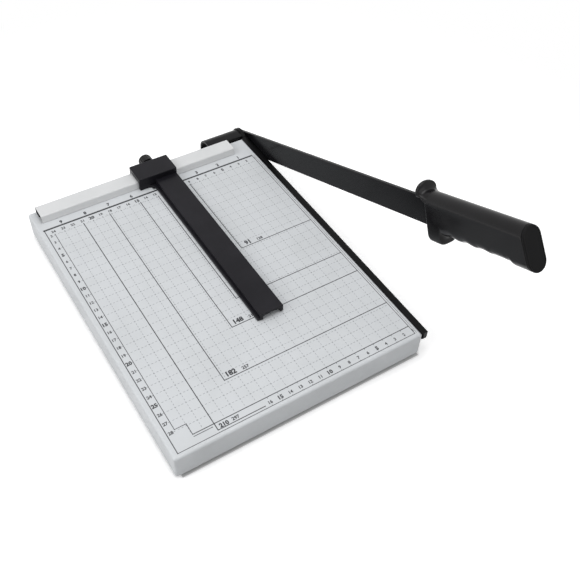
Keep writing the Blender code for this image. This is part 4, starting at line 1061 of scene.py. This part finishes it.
@dataclass
class Pivot:
    """The bolt that the arm turns on, its washers and nut, and the spring that pulls the arm to the bar."""

    board: Board
    housing: PivotHousing
    bolt: float = 0.0030
    arm_outer: float = 0.0045
    washer_thick: float = 0.0012
    washer_rim: float = 0.0062
    arm_washer_rim: float = 0.0090
    head_corner: float = 0.0060
    head: float = 0.0040
    nut_corner: float = 0.0058
    nut: float = 0.0050
    end_inset: float = 0.0020
    nut_inset: float = 0.0015
    spring_mean: float = 0.0047
    wire: float = 0.0007
    closed_step: float = 0.0019
    curls: int = 9
    steps: int = 28  # points in a curl

    def at(self, x: float) -> Vector:
        """A point on the pivot's axis."""
        return self.board.at(x, *PIVOT)

    def spring(self, start: float, end: float) -> Shape:
        """Round wire along a helix with closed ends.

        The helix is (x(t), R cos t, R sin t), where x falls by the closed step in the first and last curl
        and evenly between. The wire's ring at each point is spun in the plane of the outward direction
        and the direction square to both it and the helix.

        Args:
            start: X of the end at the housing.
            end: X of the end at the nut.

        Returns:
            The wire.
        """
        turn = np.linspace(0, self.curls, self.curls * self.steps + 1)
        free = (start - end) - 2 * self.wire - 2 * self.closed_step
        closed = np.minimum(turn, 1) + np.maximum(turn - (self.curls - 1), 0)
        opened = np.clip(turn - 1, 0, self.curls - 2)
        x = start - self.wire - closed * self.closed_step - opened * free / (self.curls - 2)
        angle = 2 * math.pi * turn
        outward = np.stack([np.zeros_like(turn), np.cos(angle), np.sin(angle)], axis=1)
        path = np.column_stack([x, self.spring_mean * outward[:, 1], self.spring_mean * outward[:, 2]])
        tangent = np.gradient(path, axis=0)
        tangent /= np.linalg.norm(tangent, axis=1, keepdims=True)
        square = np.cross(tangent, outward)
        ring = around(12)
        rings = (path[:, None] + self.wire * (np.cos(ring)[None, :, None] * outward[:, None]
                                              + np.sin(ring)[None, :, None] * square[:, None]))
        return loft(rings + np.array(self.at(0)))

    def build(self) -> None:
        """Makes the bolt, washers, nut and spring."""
        hole = self.bolt + GAP
        bolt_end = self.housing.left + self.end_inset
        nut_left = bolt_end + self.nut_inset
        nut_right = nut_left + self.nut
        seat = self.housing.right - self.housing.sheet - GAP
        base = self.arm_outer + self.washer_thick + 2 * GAP
        sides, head = 72, self.head
        radius = hexagon(self.head_corner, sides)
        face = self.head_corner * math.cos(math.pi / 6) * 0.97
        drop = (radius - face) * math.tan(math.radians(30))
        ring, dish = np.minimum(radius, face), head - 0.0002
        turns = thread(self.bolt, 0.00022, bolt_end - base + 0.0006, 0.0004, 40)
        profile = [(0, bolt_end - base), (self.bolt - 0.0006, bolt_end - base), *turns, (self.bolt, 0),
                   (ring, 0), (radius, drop * 0.3), (radius, head - drop), (ring, head),
                   (self.bolt * 0.9, head), (self.bolt * 0.85, dish), (0, dish)]
        piece("hex_bolt", spun(profile, self.at(base), "+X", sides), [Look.ZINC], "pivot_bolt")
        for name, node, rim, x, facing in (
                ("bolt_washer", "arm_washer", self.arm_washer_rim, self.arm_outer + GAP, "+X"),
                ("spring_seat", "spring_seat_washer", self.washer_rim, seat, "-X"),
                ("spring_nut_washer", "nut_washer", self.washer_rim, nut_right + GAP, "+X")):
            piece(name, washer(hole, rim, self.washer_thick, self.at(x), facing), [Look.ZINC], node)
        piece("hex_nut", hex_nut(hole, self.nut_corner, self.nut, self.at(nut_left), "+X"), [Look.ZINC],
              "pivot_nut")
        spring = self.spring(seat - self.washer_thick - GAP, nut_right + 2 * GAP + self.washer_thick)
        piece("pressure_spring", spring, [Look.WIRE], "pivot_spring", sharp=60)


@dataclass
class Fasteners:
    """The screws and nuts that hold the bar, rail, housing and feet, and the feet themselves."""

    board: Board
    rail: Rail
    bar: CuttingBar
    housing: PivotHousing
    foot: float = 0.0075
    foot_inset: float = 0.0115
    foot_proud: float = 0.0025
    foot_rim: float = 0.0006
    foot_ease: float = 0.0003
    foot_hole: float = 0.0016
    foot_stub: float = 0.0020  # of its screw, past the lip
    pocket: float = 0.0036
    pocket_deep: float = 0.0014
    pocket_ease: float = 0.0002
    bar_shares: tuple = (0.08, 0.36, 0.64, 0.92)
    bar_drop: float = 0.0055
    bar_screw_end: float = -0.0005
    rail_shares: tuple = (0.06, 0.50, 0.94)
    rail_screw: float = 0.0061
    rail_nut: tuple = (0.0018, 0.0031, 0.0024)  # bore, corner and height
    rail_nut_rise: float = 0.0018
    housing_shares: tuple = (0.22, 0.75)
    housing_drop: float = 0.0195
    housing_screw: float = 0.0046

    def feet(self) -> None:
        """Four turned rubber feet, each with a rounded rim and a pocket for its screw."""
        board, rim, ease = self.board, self.foot_rim, self.foot_ease
        xs = (-board.left + self.foot_inset, -board.right - self.foot_inset)
        ys = (-board.front + self.foot_inset, board.back - self.foot_inset)
        height = self.foot_proud - GAP
        floor = -height + self.pocket_deep
        edge = [(self.foot - rim + rim * math.cos(t), -height + rim - rim * math.sin(t)) for t in quarter(6)]
        profile = [(self.foot_hole, 0), (self.foot - ease, 0), (self.foot, -ease), *edge,
                   (self.pocket + self.pocket_ease, -height), (self.pocket, -height + self.pocket_ease),
                   (self.pocket, floor), (self.foot_hole, floor)]
        top = -board.height - GAP
        seat = top - height + self.pocket_deep - GAP
        length = self.foot_proud - self.pocket_deep + GAP + board.sheet + self.foot_stub
        for number, (x, y) in enumerate([(x, y) for y in ys for x in xs], start=1):
            piece(f"foot_{number}", spun(profile, board.at(x, y, top), "+Z", 64), [Look.RUBBER],
                  f"rubber_foot_{number}")
            screw = pan_screw(Screw.FOOT, length, board.at(x, y, seat), "-Z")
            piece(f"foot_fixing_{number}", screw, [Look.ZINC], f"foot_screw_{number}")

    def screws(self) -> None:
        """The screws inside the tray, and the rail's nuts."""
        board, rail, zinc = self.board, self.rail, [Look.ZINC]
        seat = -board.right - board.sheet - GAP
        for number, share in enumerate(self.bar_shares, start=1):
            place = board.at(seat, -self.bar.front + share * (self.bar.front + board.back), -self.bar_drop)
            screw = pan_screw(Screw.BAR, self.bar_screw_end - seat, place, "-X")
            piece(f"bar_fixing_{number}", screw, zinc, f"blade_screw_{number}")
        y = rail.front + rail.depth - rail.sheet - (rail.foot - rail.sheet) / 2
        for number, share in enumerate(self.rail_shares, start=1):
            x = rail.left + share * (rail.right - rail.left)
            screw = pan_screw(Screw.SHEET, self.rail_screw, board.at(x, y, -board.sheet - GAP), "-Z")
            piece(f"rail_fixing_{number}", screw, zinc, f"rail_screw_{number}")
            nut = hex_nut(*self.rail_nut, board.at(x, y, self.rail_nut_rise), "+Z")
            piece(f"rail_fixing_nut_{number}", nut, zinc, f"rail_nut_{number}")
        for number, share in enumerate(self.housing_shares, start=1):
            x = self.housing.left + share * (self.housing.right - self.housing.left)
            place = board.at(x, board.back - board.sheet - GAP, -self.housing_drop)
            screw = pan_screw(Screw.SHEET, self.housing_screw, place, "-Y")
            piece(f"housing_fixing_{number}", screw, zinc, f"housing_screw_{number}")


# Blade arm and handle


@dataclass
class BladeArm:
    """The steel arm with its ground edge and the narrower tang inside the handle."""

    board: Board
    rest: float = 23.6
    inner: float = 0.0015
    thick: float = 0.0030
    width: float = 0.0244
    hilt: float = 0.3346
    buried: float = 0.0024  # length of the full width inside the grip
    tang_end: float = 0.4326
    tang: float = 0.0140
    grind: float = 0.0042
    grind_start: float = 0.022
    grind_run: float = 0.006  # over which the bevel comes in
    nose: float = 0.06  # angle left flat at the round end, in radians
    straight: float = 0.0115  # first station of the straight part
    shoulder: tuple = (0.0009, 0.0005, 0.00045, 0.0004)  # last stations before the tang
    land: float = 0.0004
    arris: float = 0.00035
    bevel_side: int = 4  # side of the section that is ground

    def raise_up(self, shape: Shape) -> Shape:
        """A shape of the level arm's frame, carried to the arm's place at rest."""
        place = Matrix.Translation(self.board.at(0, *PIVOT))
        return shape.turned_by(place @ Matrix.Rotation(math.radians(-self.rest), 4, "X"))

    def bar(self) -> Shape:
        """The arm as sections across it, at stations along it.

        Half its height is w * cos t at along = -w * sin t about the pivot, w up to the hilt and the
        tang's half beyond it. Each section is a rectangle with small chamfers whose lower outer corner is
        cut back by the ground bevel, which grows from nothing over grind_run.

        Returns:
            The arm, its bevel in the second finish.
        """
        half, full = self.width / 2, self.hilt + self.buried
        turn = np.linspace(math.pi / 2 - self.nose, 0, 16)
        last, step, grind_end, tang = (full - before for before in self.shoulder)
        along = [-half * np.sin(turn), np.linspace(self.straight, last, 60)]
        height = [half * np.cos(turn), np.full(60, half)]
        along += [np.array([step, tang]), np.linspace(full, self.tang_end, 6)]
        height += [np.array([half - 0.0002, self.tang / 2]), np.full(6, self.tang / 2)]
        along, height = np.concatenate(along), np.concatenate(height)
        ground = np.clip((along - self.grind_start) / self.grind_run, 0, 1) * (along < grind_end)
        bevel = self.arris + (self.grind - self.arris) * ground
        near, far = self.inner, self.inner + self.thick
        edge = near + self.land + (far - near - self.land - self.arris) * (1 - ground)
        ring = [(near + self.arris, height), (near, height - self.arris), (near, -height + 0.0001),
                (near + 0.0001, -height), (edge, -height), (far, -height + bevel), (far, height - self.arris),
                (far - self.arris, height)]
        rings = np.stack([np.stack([np.broadcast_to(x, along.shape), -along, z], axis=-1)
                          for x, z in ring], axis=1)
        made = loft(rings)
        for row in np.nonzero(ground[:-1] > 0.02)[0]:
            made.finishes[row * len(ring) + self.bevel_side] = 1
        return self.raise_up(made)


@dataclass
class Handle:
    """The moulded grip with its disc and finger guard, and the plate on its end."""

    arm: BladeArm
    lean: float = 0.23
    middle: float = 0.0030
    top: float = 0.0195
    bottom_front: float = 0.0155
    bottom_waist: float = 0.0134
    pommel_bottom: float = 0.0152
    half_width: float = 0.0085
    length: float = 0.1113
    front: float = 0.0016
    lean_over: float = 0.0160
    rim: float = 0.0008
    guard_front: float = 0.3274
    guard_thick: float = 0.0036
    guard_half_width: float = 0.0100
    guard_span: tuple = (0.0133, 0.0265)
    neck_half_width: float = 0.00845
    neck_top: float = 0.01945
    neck_floor: float = 0.0102
    neck_sweep: float = 0.0036
    groove_start: float = 0.0170
    groove_period: float = 0.0172
    grooves: int = 4
    groove_depth: float = 0.0011
    pommel: float = 0.0215
    pommel_step: float = 0.0040
    lobe: float = 0.0141
    lobe_bottom: float = 0.0230
    lobe_edge: float = 0.0028
    lobe_fillet: float = 0.0070
    cap: float = 0.0020
    screw_shares: tuple = (0.26, 0.68)
    screw_rise: float = 0.0020
    screw_sunk: float = 0.0012
    screw_length: float = 0.0086
    well: tuple = ((0, -0.0034), (0.0039, -0.0034), (0.0039, 0.001), (0.0045, 0.002), (0, 0.002))
    bead: float = 0.0009
    cap_face: float = 0.0016
    square: tuple = (1.4, 0.0040)  # growth of n where the guard hangs down, and over what depth
    middles: tuple = (0.42, 0.09)  # of the disc and of the neck's end, as shares of their height

    def underside(self, s: np.ndarray) -> np.ndarray:
        """Depth of the grip's underside at s.

        A slope to the waist, less four sine-squared finger grooves, plus the pommel's smooth step; near
        the front the guard's lobe, whose edges are quarter circles and whose front falls in a fillet.

        Args:
            s: along, from the hilt.

        Returns:
            The depths.
        """
        last = self.groove_start + self.grooves * self.groove_period
        slope = np.clip(s / last, 0, 1)
        depth = self.bottom_front + slope * (self.bottom_waist - self.bottom_front)
        inside = (s > self.groove_start) & (s < last)
        wave = np.sin(math.pi * (s - self.groove_start) / self.groove_period) ** 2
        depth = depth - inside * self.groove_depth * wave
        rise = np.clip((s - (self.length - self.pommel)) / self.pommel_step, 0, 1)
        depth = depth + (self.pommel_bottom - self.bottom_waist) * rise * rise * (3 - 2 * rise)
        edge = self.lobe_edge
        back = np.clip(self.front + edge - s, 0, edge)
        fore = np.clip(s - (self.lobe - edge), 0, edge)
        toe = self.lobe_bottom - 2 * edge + np.sqrt(edge ** 2 - back ** 2) + np.sqrt(edge ** 2 - fore ** 2)
        run = 1 - np.clip((s - self.lobe) / self.lobe_fillet, 0, 1)
        swept = self.lobe_bottom - edge - self.lobe_fillet * np.sqrt(1 - run ** 2)
        guard = np.where(s < self.lobe, toe, swept)
        return np.maximum(depth, guard)

    def rings(self, s: np.ndarray, bottom: np.ndarray, inset: np.ndarray) -> np.ndarray:
        """Rings of the grip.

        Each ring is a stadium between top and bottom. Its lower end is |x|^n + |z|^n = 1 scaled to the
        half width, with n from 2 to 3.4 where the guard hangs down. It stands square to the arm at the
        front and leans by lean * z from lean_over on, by the smooth step t^2 (3 - 2 t) between.

        Args:
            s: along, from the hilt.
            bottom: depth of each ring's underside.
            inset: how far each ring is drawn in all round.

        Returns:
            (rings, points, 3) in the level arm's frame.
        """
        round_end = np.linspace(0, math.pi, 22)
        wide = (self.half_width - inset)[:, None]
        high = (self.top - self.half_width) * np.ones_like(s)[:, None]
        low = (self.half_width - bottom)[:, None]
        power = (2 + self.square[0] * np.clip((bottom - self.bottom_front) / self.square[1], 0, 1))[:, None]
        upper_x, upper_z = wide * np.cos(round_end), high + wide * np.sin(round_end)
        side = high + (low - high) * np.linspace(0, 1, 8)[1:-1]
        lower_x = -wide * np.sign(np.cos(round_end)) * np.abs(np.cos(round_end)) ** (2 / power)
        lower_z = low - wide * np.abs(np.sin(round_end)) ** (2 / power)
        x = np.concatenate([upper_x, -wide * np.ones_like(side), lower_x, wide * np.ones_like(side)], axis=1)
        z = np.concatenate([upper_z, side, lower_z, side[:, ::-1]], axis=1)
        t = np.clip((s - self.front) / self.lean_over, 0, 1)[:, None]
        along = self.arm.hilt + s[:, None] - self.lean * t * t * (3 - 2 * t) * z
        return np.stack([self.middle + x, -along, z], axis=-1)

    def thumb_guard(self) -> Shape:
        """The disc that stands over the arm ahead of the grip, and the neck that joins it to the grip.

        Each ring is |x|^n + |z|^n = 1 scaled to its half width and height, with n 2 above its middle and
        3 below. The rim is a quarter circle. The neck's crown falls by a quarter ellipse, and its width,
        floor and middle run in a straight line to the grip's own round top.

        Returns:
            The disc and neck, level.
        """
        low, top = self.guard_span
        turn = quarter(8)
        rim = 0.0012
        fade, ahead = rim * (1 - np.sin(turn)), rim * (1 - np.cos(turn))
        back = self.guard_front + self.guard_thick
        neck = np.append(1 - np.cos(turn), 1.0)
        fall = np.append(1 - np.sin(turn), 0.0)
        into = self.arm.hilt + self.front + self.arm.buried
        along = np.concatenate([self.guard_front + ahead, (back - ahead)[::-1][:-2],
                                back - 0.0004 + self.neck_sweep * neck[:-1], [into]])
        run = (along[-9:] - along[-9]) / (into - along[-9])
        drawn = np.concatenate([fade, fade[::-1][:-2]])
        keep = 0.0007
        wide = self.guard_half_width
        half = np.append(wide - drawn, wide - keep + run * (self.neck_half_width + keep - wide))
        crown = np.append(top - drawn, self.neck_top + (top - keep - self.neck_top) * fall)
        floor = np.append(low + drawn, low + keep + run * (self.neck_floor - low - keep))
        disc, end = self.middles
        share = np.append(np.full(len(drawn), disc), disc + run * (end - disc))
        angle = around(64)
        cosine, sine = np.cos(angle), np.sin(angle)
        power = 2 / np.where(sine >= 0, 2.0, 3.0)
        middle = floor + (crown - floor) * share
        high = np.where(sine >= 0, (crown - middle)[:, None], (middle - floor)[:, None])
        x = self.middle + half[:, None] * np.sign(cosine) * np.abs(cosine) ** power
        z = middle[:, None] + high * np.sign(sine) * np.abs(sine) ** power
        return loft(np.stack([x, np.broadcast_to(-along[:, None], x.shape), z], axis=-1))

    def grip(self) -> bpy.types.Mesh:
        """The moulding, and the two holes on its outer side that the tang's screws sit in.

        Returns:
            Its mesh.
        """
        turn = quarter(5)
        rim_s, rim_in = self.rim * (1 - np.cos(turn)), self.rim * (1 - np.sin(turn))
        end = self.length - self.cap - GAP
        s = np.concatenate([self.front + rim_s, np.linspace(self.front + 0.0012, 0.0220, 60),
                            np.linspace(0.0225, end - self.rim, 140), end - rim_s[::-1][1:] * 0.5])
        inset = np.concatenate([rim_in, np.zeros(200), rim_in[::-1][1:] * 0.5])
        mesh = as_mesh(self.arm.raise_up(loft(self.rings(s, self.underside(s), inset))), "grip")
        joined = combined(mesh, self.arm.raise_up(self.thumb_guard()), "UNION")
        side = self.middle + self.half_width
        wells = [spun(self.well, self.screw_place(side, share), "+X", 40) for share in self.screw_shares]
        return combined(joined, self.arm.raise_up(united(wells)), "DIFFERENCE")

    def screw_place(self, x: float, share: float) -> Vector:
        """A point on the axis of the screw that stands at a share of the grip's length."""
        return Vector((x, -self.arm.hilt - share * self.length, self.screw_rise))

    def end_plate(self) -> Shape:
        """The plate on the end: a rounded rim, a fine raised bead inside it, and a slightly sunk face.

        Returns:
            The plate.
        """
        start, bead, face = self.length - self.cap, self.bead, self.length - self.cap + self.cap_face
        rows = [(start, 0.0003), (start + 0.0002, 0.0)]
        rows += [(start + self.cap - bead * (1 - math.sin(t)), bead * (1 - math.cos(t))) for t in quarter(7)]
        rows += [(start + 0.0019, 0.0013), (face, 0.0015), (face, 0.0020), (face, 0.0060)]
        s, inset = np.array(rows).T
        return self.arm.raise_up(loft(self.rings(s, np.full(len(s), self.pommel_bottom), inset)))

    def build(self) -> None:
        """Makes the grip, its end plate and the tang's screws."""
        piece("handle_moulding", self.grip(), [Look.GLOSS_PLASTIC], "handle_grip", body="arm", sharp=42)
        piece("handle_end_plate", self.end_plate(), [Look.MATT_PLASTIC], "handle_end_cap", body="arm")
        seat = self.middle + self.half_width - self.screw_sunk - Screw.HANDLE.value[2]
        for number, share in enumerate(self.screw_shares, start=1):
            screw = pan_screw(Screw.HANDLE, self.screw_length, self.screw_place(seat, share), "+X")
            piece(f"tang_fixing_{number}", self.arm.raise_up(screw), [Look.ZINC], f"handle_screw_{number}",
                  body="arm")


# Paper gauge and its lock


@dataclass
class Gauge:
    """The slider that straddles the rail, with a flat arm over the board."""

    board: Board
    left: float = -0.1405
    width: float = 0.0430
    front: float = -0.0026
    back: float = 0.0225
    top: float = 0.0145
    soft: float = 0.0014  # shoulders of the head
    channel: tuple = (0.0010, 0.0201, 0.0081)
    edge: float = 0.0011
    arm_width: float = 0.0250
    reach: float = 0.2165
    arm_top: float = 0.0080
    wall: float = 0.0033
    roof: tuple = (0.0041, 0.0056)
    ledge: float = 0.0025
    ledge_height: float = 0.0030
    flare: float = 0.0088
    clamp_x: float = -0.1180
    clamp_z: float = 0.0065
    boss: float = 0.0050
    boss_length: float = 0.0027
    boss_bore: float = 0.0036
    arm_soft: float = 0.0011  # shoulders of the arm
    arm_inset: float = 0.0005  # right side, from the head's
    buried: float = 0.0010  # of arm and foot, in the head
    foot_under: float = 0.0015  # of the foot, inside the arm
    tip_ease: float = 0.0006  # rim of the arm's tip
    knob_rim: float = 0.0073
    knob_bore: float = 0.0023
    knob_heights: tuple = (0.0065, 0.0090)  # of the hub's floor and of the outer face
    flutes: int = 16
    flute_depth: float = 0.00045
    insert: tuple = (0.0023, 0.0033, 0.0023)  # bore, radius and length
    ridges: int = 24  # of the insert's knurl
    ridge: float = 0.00015
    insert_start: float = 0.0022
    pad: tuple = (0.0028, 0.0010)  # radius and thickness
    stud: float = 0.0020
    stud_end: float = 0.0062

    def head(self) -> Shape:
        """The head's side outline, an upside-down U round the rail, carried along X with rounded rims.

        Returns:
            The head.
        """
        low, high = (self.front, GAP), (self.back, self.top)
        front_in, back_in, ceiling = self.channel
        soft = self.soft
        outline = np.concatenate([
            [low], arc((low[0] + soft, high[1] - soft), soft, 180, 90, 5),
            arc((high[0] - soft, high[1] - soft), soft, 90, 0, 5), [(high[0], low[1])],
            [(back_in, low[1]), (back_in, ceiling), (front_in, ceiling), (front_in, low[1])],
        ])
        return plate(outline, self.left, self.left + self.width, Axis.X, self.edge, 5)

    def arm(self) -> Shape:
        """The arm's front view, an arched channel with rounded shoulders, carried along Y.

        Returns:
            The arm.
        """
        right = self.left + self.width - self.arm_inset
        left = self.left + self.width - self.arm_width
        soft = self.arm_soft
        inner_left, inner_right = left + self.wall, right - self.wall
        turn = np.linspace(-1, 1, 17)
        middle, half = (inner_left + inner_right) / 2, (inner_right - inner_left) / 2
        low, high = self.roof
        roof = np.column_stack([middle - half * turn, low + (high - low) * (1 - turn ** 2)])
        outline = np.concatenate([
            [(inner_left, GAP), (left, GAP)], arc((left + soft, self.arm_top - soft), soft, 180, 90, 5),
            arc((right - soft, self.arm_top - soft), soft, 90, 0, 5), [(right, GAP), (inner_right, GAP)],
            roof,
        ])
        return plate(outline, -self.reach, self.front + self.buried, Axis.Y, self.tip_ease, 4)

    def foot(self) -> Shape:
        """The strip beside the arm, flaring out by a quarter circle into the head.

        Returns:
            The strip.
        """
        wall = self.left + self.width - self.arm_width
        left = wall - self.ledge
        sweep = arc((left - self.flare, self.front - self.flare + GAP), self.flare, 0, 90, 10)
        under, end = wall + self.foot_under, -self.reach + self.tip_ease
        loop = np.concatenate([[(under, end), (under, self.front + self.buried)], sweep[::-1], [(left, end)]])
        return plate(loop, GAP, self.ledge_height, Axis.Z, 0.0004, 3)

    def knob(self, front: float) -> list:
        """The knob's profile: hub, flutes as 1 - cos^0.7 dips in its rim, and a dished outer face.

        Args:
            front: height of its front face.

        Returns:
            The (radius, height) pairs.
        """
        dips = np.clip(np.cos(self.flutes * around(96)), 0, 1) ** 0.7
        rim, bore = self.knob_rim - self.flute_depth * dips, self.knob_bore
        hub, back = (front + height for height in self.knob_heights)
        return [(0, hub), (bore, hub), (bore, front), (0.0066, front), (0.0070, front + 0.0004),
                (rim, front + 0.0010), (rim, back - 0.0014), (0.0071, back - 0.0009),
                (0.0067, back - 0.0002), (0.0062, back), (0.0052, back), (0.0046, back - 0.0008),
                (0.0030, back - 0.0010), (0, back - 0.0010)]

    def build(self) -> None:
        """Makes the slider with its boss, the lock knob with its screw and pad, and the brass insert."""
        axis = self.board.at(self.clamp_x, 0, self.clamp_z)
        bore, rim, high, ease = self.boss_bore, self.boss, self.boss_length, 0.0003
        profile = [(bore, 0.0), (rim, 0.0), (rim, high - ease), (rim - ease, high), (bore, high)]
        boss = spun(profile, axis + Vector((0, self.back, 0)), "+Y", 48)
        body = united([self.board.place(united([self.head(), self.arm(), self.foot()])), boss])
        piece("gauge_slider", body, [Look.SATIN_PLASTIC], "gauge_body", body="gauge", sharp=40)
        hole, radius, length = self.insert
        knurl = radius - self.ridge * (0.5 + 0.5 * np.cos(self.ridges * around(96)))
        insert = [(hole, 0), (0.0031, 0), (knurl, 0.0003), (knurl, 0.0020), (0.0031, length), (hole, length)]
        start = axis + Vector((0, self.channel[1], 0))
        radius, thick = self.pad
        pad = [(0, 0), (0.0026, 0), (radius, 0.0002), (radius, thick), (0, thick)]
        front = self.back + high + GAP - self.channel[1]
        end, radius, pitch = front + self.stud_end, self.stud, 0.00025
        turns = thread(radius, 0.00016, 0.0018, pitch, int((end - 0.0020) / pitch))
        stud = [(0, 0.0013), (0.0015, 0.0013), *turns, (radius, end), (0, end)]
        inside = axis + Vector((0, self.channel[1] + self.insert_start + GAP, 0))
        for name, node, shape, place, sides, look, body in (
                ("lock_insert", "threaded_insert", insert, inside, 96, Look.BRASS, "gauge"),
                ("lock_pad", "clamp_pad", pad, start, 48, Look.SATIN_PLASTIC, "knob"),
                ("lock_stud", "lock_screw", stud, start, 40, Look.ZINC, "knob"),
                ("lock_handwheel", "lock_knob", self.knob(front), start, 96, Look.GLOSS_PLASTIC, "knob")):
            piece(name, spun(shape, place, "+Y", sides), [look], node, body=body)


# Floor, light and camera


@dataclass
class Studio:
    """A white sweep, soft lamps and the camera at the photograph's place."""

    eye: tuple = (-0.23824, -0.43514, 0.58522)
    right: tuple = (0.8457, -0.5325, 0.0348)
    up: tuple = (0.37910, 0.64538, 0.66315)
    forward: tuple = (0.37563, 0.54762, -0.74768)
    lens: float = 49.18
    sensor: float = 36.0
    sky: float = 0.48
    top_power: float = 12.5
    left_power: float = 10.0
    front_power: float = 3.6
    light_side: float = 0.0060  # the painted contact shadow's box is drawn in this far on the left, the side that the left softbox lights
    dark_side: float = 0.0012  # and this far on the right, so that the right side stays darker
    contact: float = 0.0022  # width of the painted contact shadow round the tray
    whites: tuple = (0.58, 1.36)  # colour seen in the painted contact shadow under the tray, and clear of it
    grey: float = 0.42  # colour for the light that the floor gives back
    glow_span: tuple = (0.22, 0.60)  # distances over which the glow comes in
    glow: tuple = (0.02, 1.0)
    softbox: float = 1.2

    def floor_material(self) -> bpy.types.Material:
        """White paper that gives light back to the object as a mid grey floor would.

        Camera, glossy and transmission rays see it white: by its colour near the object, so that the
        shadows stay, and by its own glow further out, where the smooth step over the distance from the
        middle has run up. Under the tray and 2.2 mm round it the colour runs down to a darker one by a
        smooth step: a painted contact shadow. The distance is the length of max(|p| - half, 0).

        Returns:
            The material.
        """
        paper = bpy.data.materials.new("white_paper_sweep")
        paper.use_nodes = True
        tree = paper.node_tree
        tree.nodes.remove(tree.nodes["Principled BSDF"])
        seen = seen_ray(tree)
        place = add(tree, "TexCoord", {}, "Object")
        low, high = (Vector(corner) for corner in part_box("base_tray"))
        # box of the painted contact shadow: the tray's box drawn in on both sides
        low, high = low + Vector((self.light_side, 0, 0)), high - Vector((self.dark_side, 0, 0))
        middle, half = (low + high) / 2, (high - low) / 2
        offset = add(tree, "VectorMath", {0: place, 1: (middle.x, middle.y, 0.0)}, operation="SUBTRACT")
        folded = add(tree, "VectorMath", {0: offset}, operation="ABSOLUTE")
        past = add(tree, "VectorMath", {0: folded, 1: (half.x, half.y, 1.0)}, operation="SUBTRACT")
        beyond = add(tree, "VectorMath", {0: past, 1: (0.0, 0.0, 0.0)}, operation="MAXIMUM")
        gap = add(tree, "VectorMath", {0: beyond}, "Value", operation="LENGTH")
        away = add(tree, "VectorMath", {0: place}, "Value", operation="LENGTH")
        # painted contact shadow: seen rays get a darker floor colour under and just round the tray
        near = ramp(tree, gap, (0.0, self.contact), self.whites, "SMOOTHSTEP")
        far = ramp(tree, away, self.glow_span, self.glow, "SMOOTHSTEP")
        sheet = add(tree, "BsdfDiffuse", {"Color": ramp(tree, seen, (0.0, 1.0), (self.grey, near))})
        glow = add(tree, "Emission", {"Color": WHITE, "Strength": 1.0})
        part = add(tree, "Math", {0: seen, 1: far}, operation="MULTIPLY")
        mix = add(tree, "MixShader", {0: part, 1: sheet, 2: glow})
        fill(tree, tree.nodes["Material Output"], {"Surface": mix})
        return paper

    def floor(self) -> None:
        """A broad white floor: a square grid of points, each cell one face."""
        count, size, under = 41, 4.0, -0.00002
        grid = np.linspace(-size, size, count)
        x, y = np.meshgrid(grid, grid)
        points = np.column_stack([x.ravel(), y.ravel(), np.full(x.size, under)])
        index = np.arange(count * count).reshape(count, count)
        faces = np.stack([index[:-1, :-1], index[:-1, 1:], index[1:, 1:], index[1:, :-1]], axis=-1)
        mesh = bpy.data.meshes.new("floor")
        mesh.from_pydata(points.tolist(), [], faces.reshape(-1, 4).tolist())
        mesh.materials.append(self.floor_material())
        item = placed("floor", mesh)

    def lamp(self, name: str, at: tuple, power: float) -> None:
        """A square soft box that faces the middle of the cutter's footprint.

        Args:
            name: its name.
            at: its place.
            power: in watts.
        """
        light = bpy.data.lights.new(name, "AREA")
        light.shape = "SQUARE"
        light.size = self.softbox
        light.energy = power
        item = placed(name, light)
        item.location = at
        item.rotation_euler = (-Vector(at)).to_track_quat("-Z", "Y").to_euler()

    def sky_round(self) -> None:
        """A world that lights softly and is seen white."""
        world = bpy.data.worlds.new("soft_room")
        bpy.context.scene.world = world
        world.use_nodes = True
        tree = world.node_tree
        tree.nodes.clear()
        room = add(tree, "Background", {"Color": WHITE, "Strength": self.sky})
        white = add(tree, "Background", {"Color": WHITE, "Strength": 1.0})
        mix = add(tree, "MixShader", {0: seen_ray(tree), 1: room, 2: white})
        fill(tree, tree.nodes.new("ShaderNodeOutputWorld"), {"Surface": mix})

    def build(self) -> None:
        """Makes the floor, world, lamps and camera."""
        self.floor()
        self.sky_round()
        self.lamp("top_softbox", (0.12, 0.05, 1.95), self.top_power)
        self.lamp("left_softbox", (-1.50, 0.20, 1.10), self.left_power)
        self.lamp("front_softbox", (0.30, -1.30, 1.50), self.front_power)
        camera = bpy.data.cameras.new("camera")
        camera.lens = self.lens
        camera.sensor_width = self.sensor
        camera.clip_start = 0.01
        item = placed("camera", camera)
        turn = Matrix([self.right, self.up, [-value for value in self.forward]]).transposed()
        item.matrix_world = Matrix.Translation(self.eye) @ turn.to_4x4()
        bpy.context.scene.camera = item
        bpy.context.scene.view_settings.view_transform = "Standard"


def main() -> None:
    """Builds the cutter sub-assembly by sub-assembly, then the studio round it."""
    logging.basicConfig(level=logging.INFO, format="%(name)s: %(message)s")
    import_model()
    board = Board()
    piece("tray", board.tray(), [Look.BOARD], "base_tray", sharp=50)
    Print(board).build()
    rail, bar, housing, arm = Rail(board), CuttingBar(board), PivotHousing(board), BladeArm(board)
    piece("rail_channel", rail.channel(), [Look.RAIL, Look.PHOSPHATE], "guide_rail", sharp=30)
    piece("cutting_bar", bar.bar(), [Look.OXIDE], "fixed_blade", sharp=30)
    piece("pivot_cover", housing.cover(), [Look.ENAMEL], "pivot_housing", sharp=30)
    Pivot(board, housing).build()
    fasteners = Fasteners(board, rail, bar, housing)
    fasteners.feet()
    fasteners.screws()
    piece("cutting_arm", arm.bar(), [Look.ENAMEL, Look.GROUND], "blade_arm", body="arm", sharp=25)
    Handle(arm).build()
    Gauge(board).build()
    Studio().build()


if __name__ == "__main__":
    main()
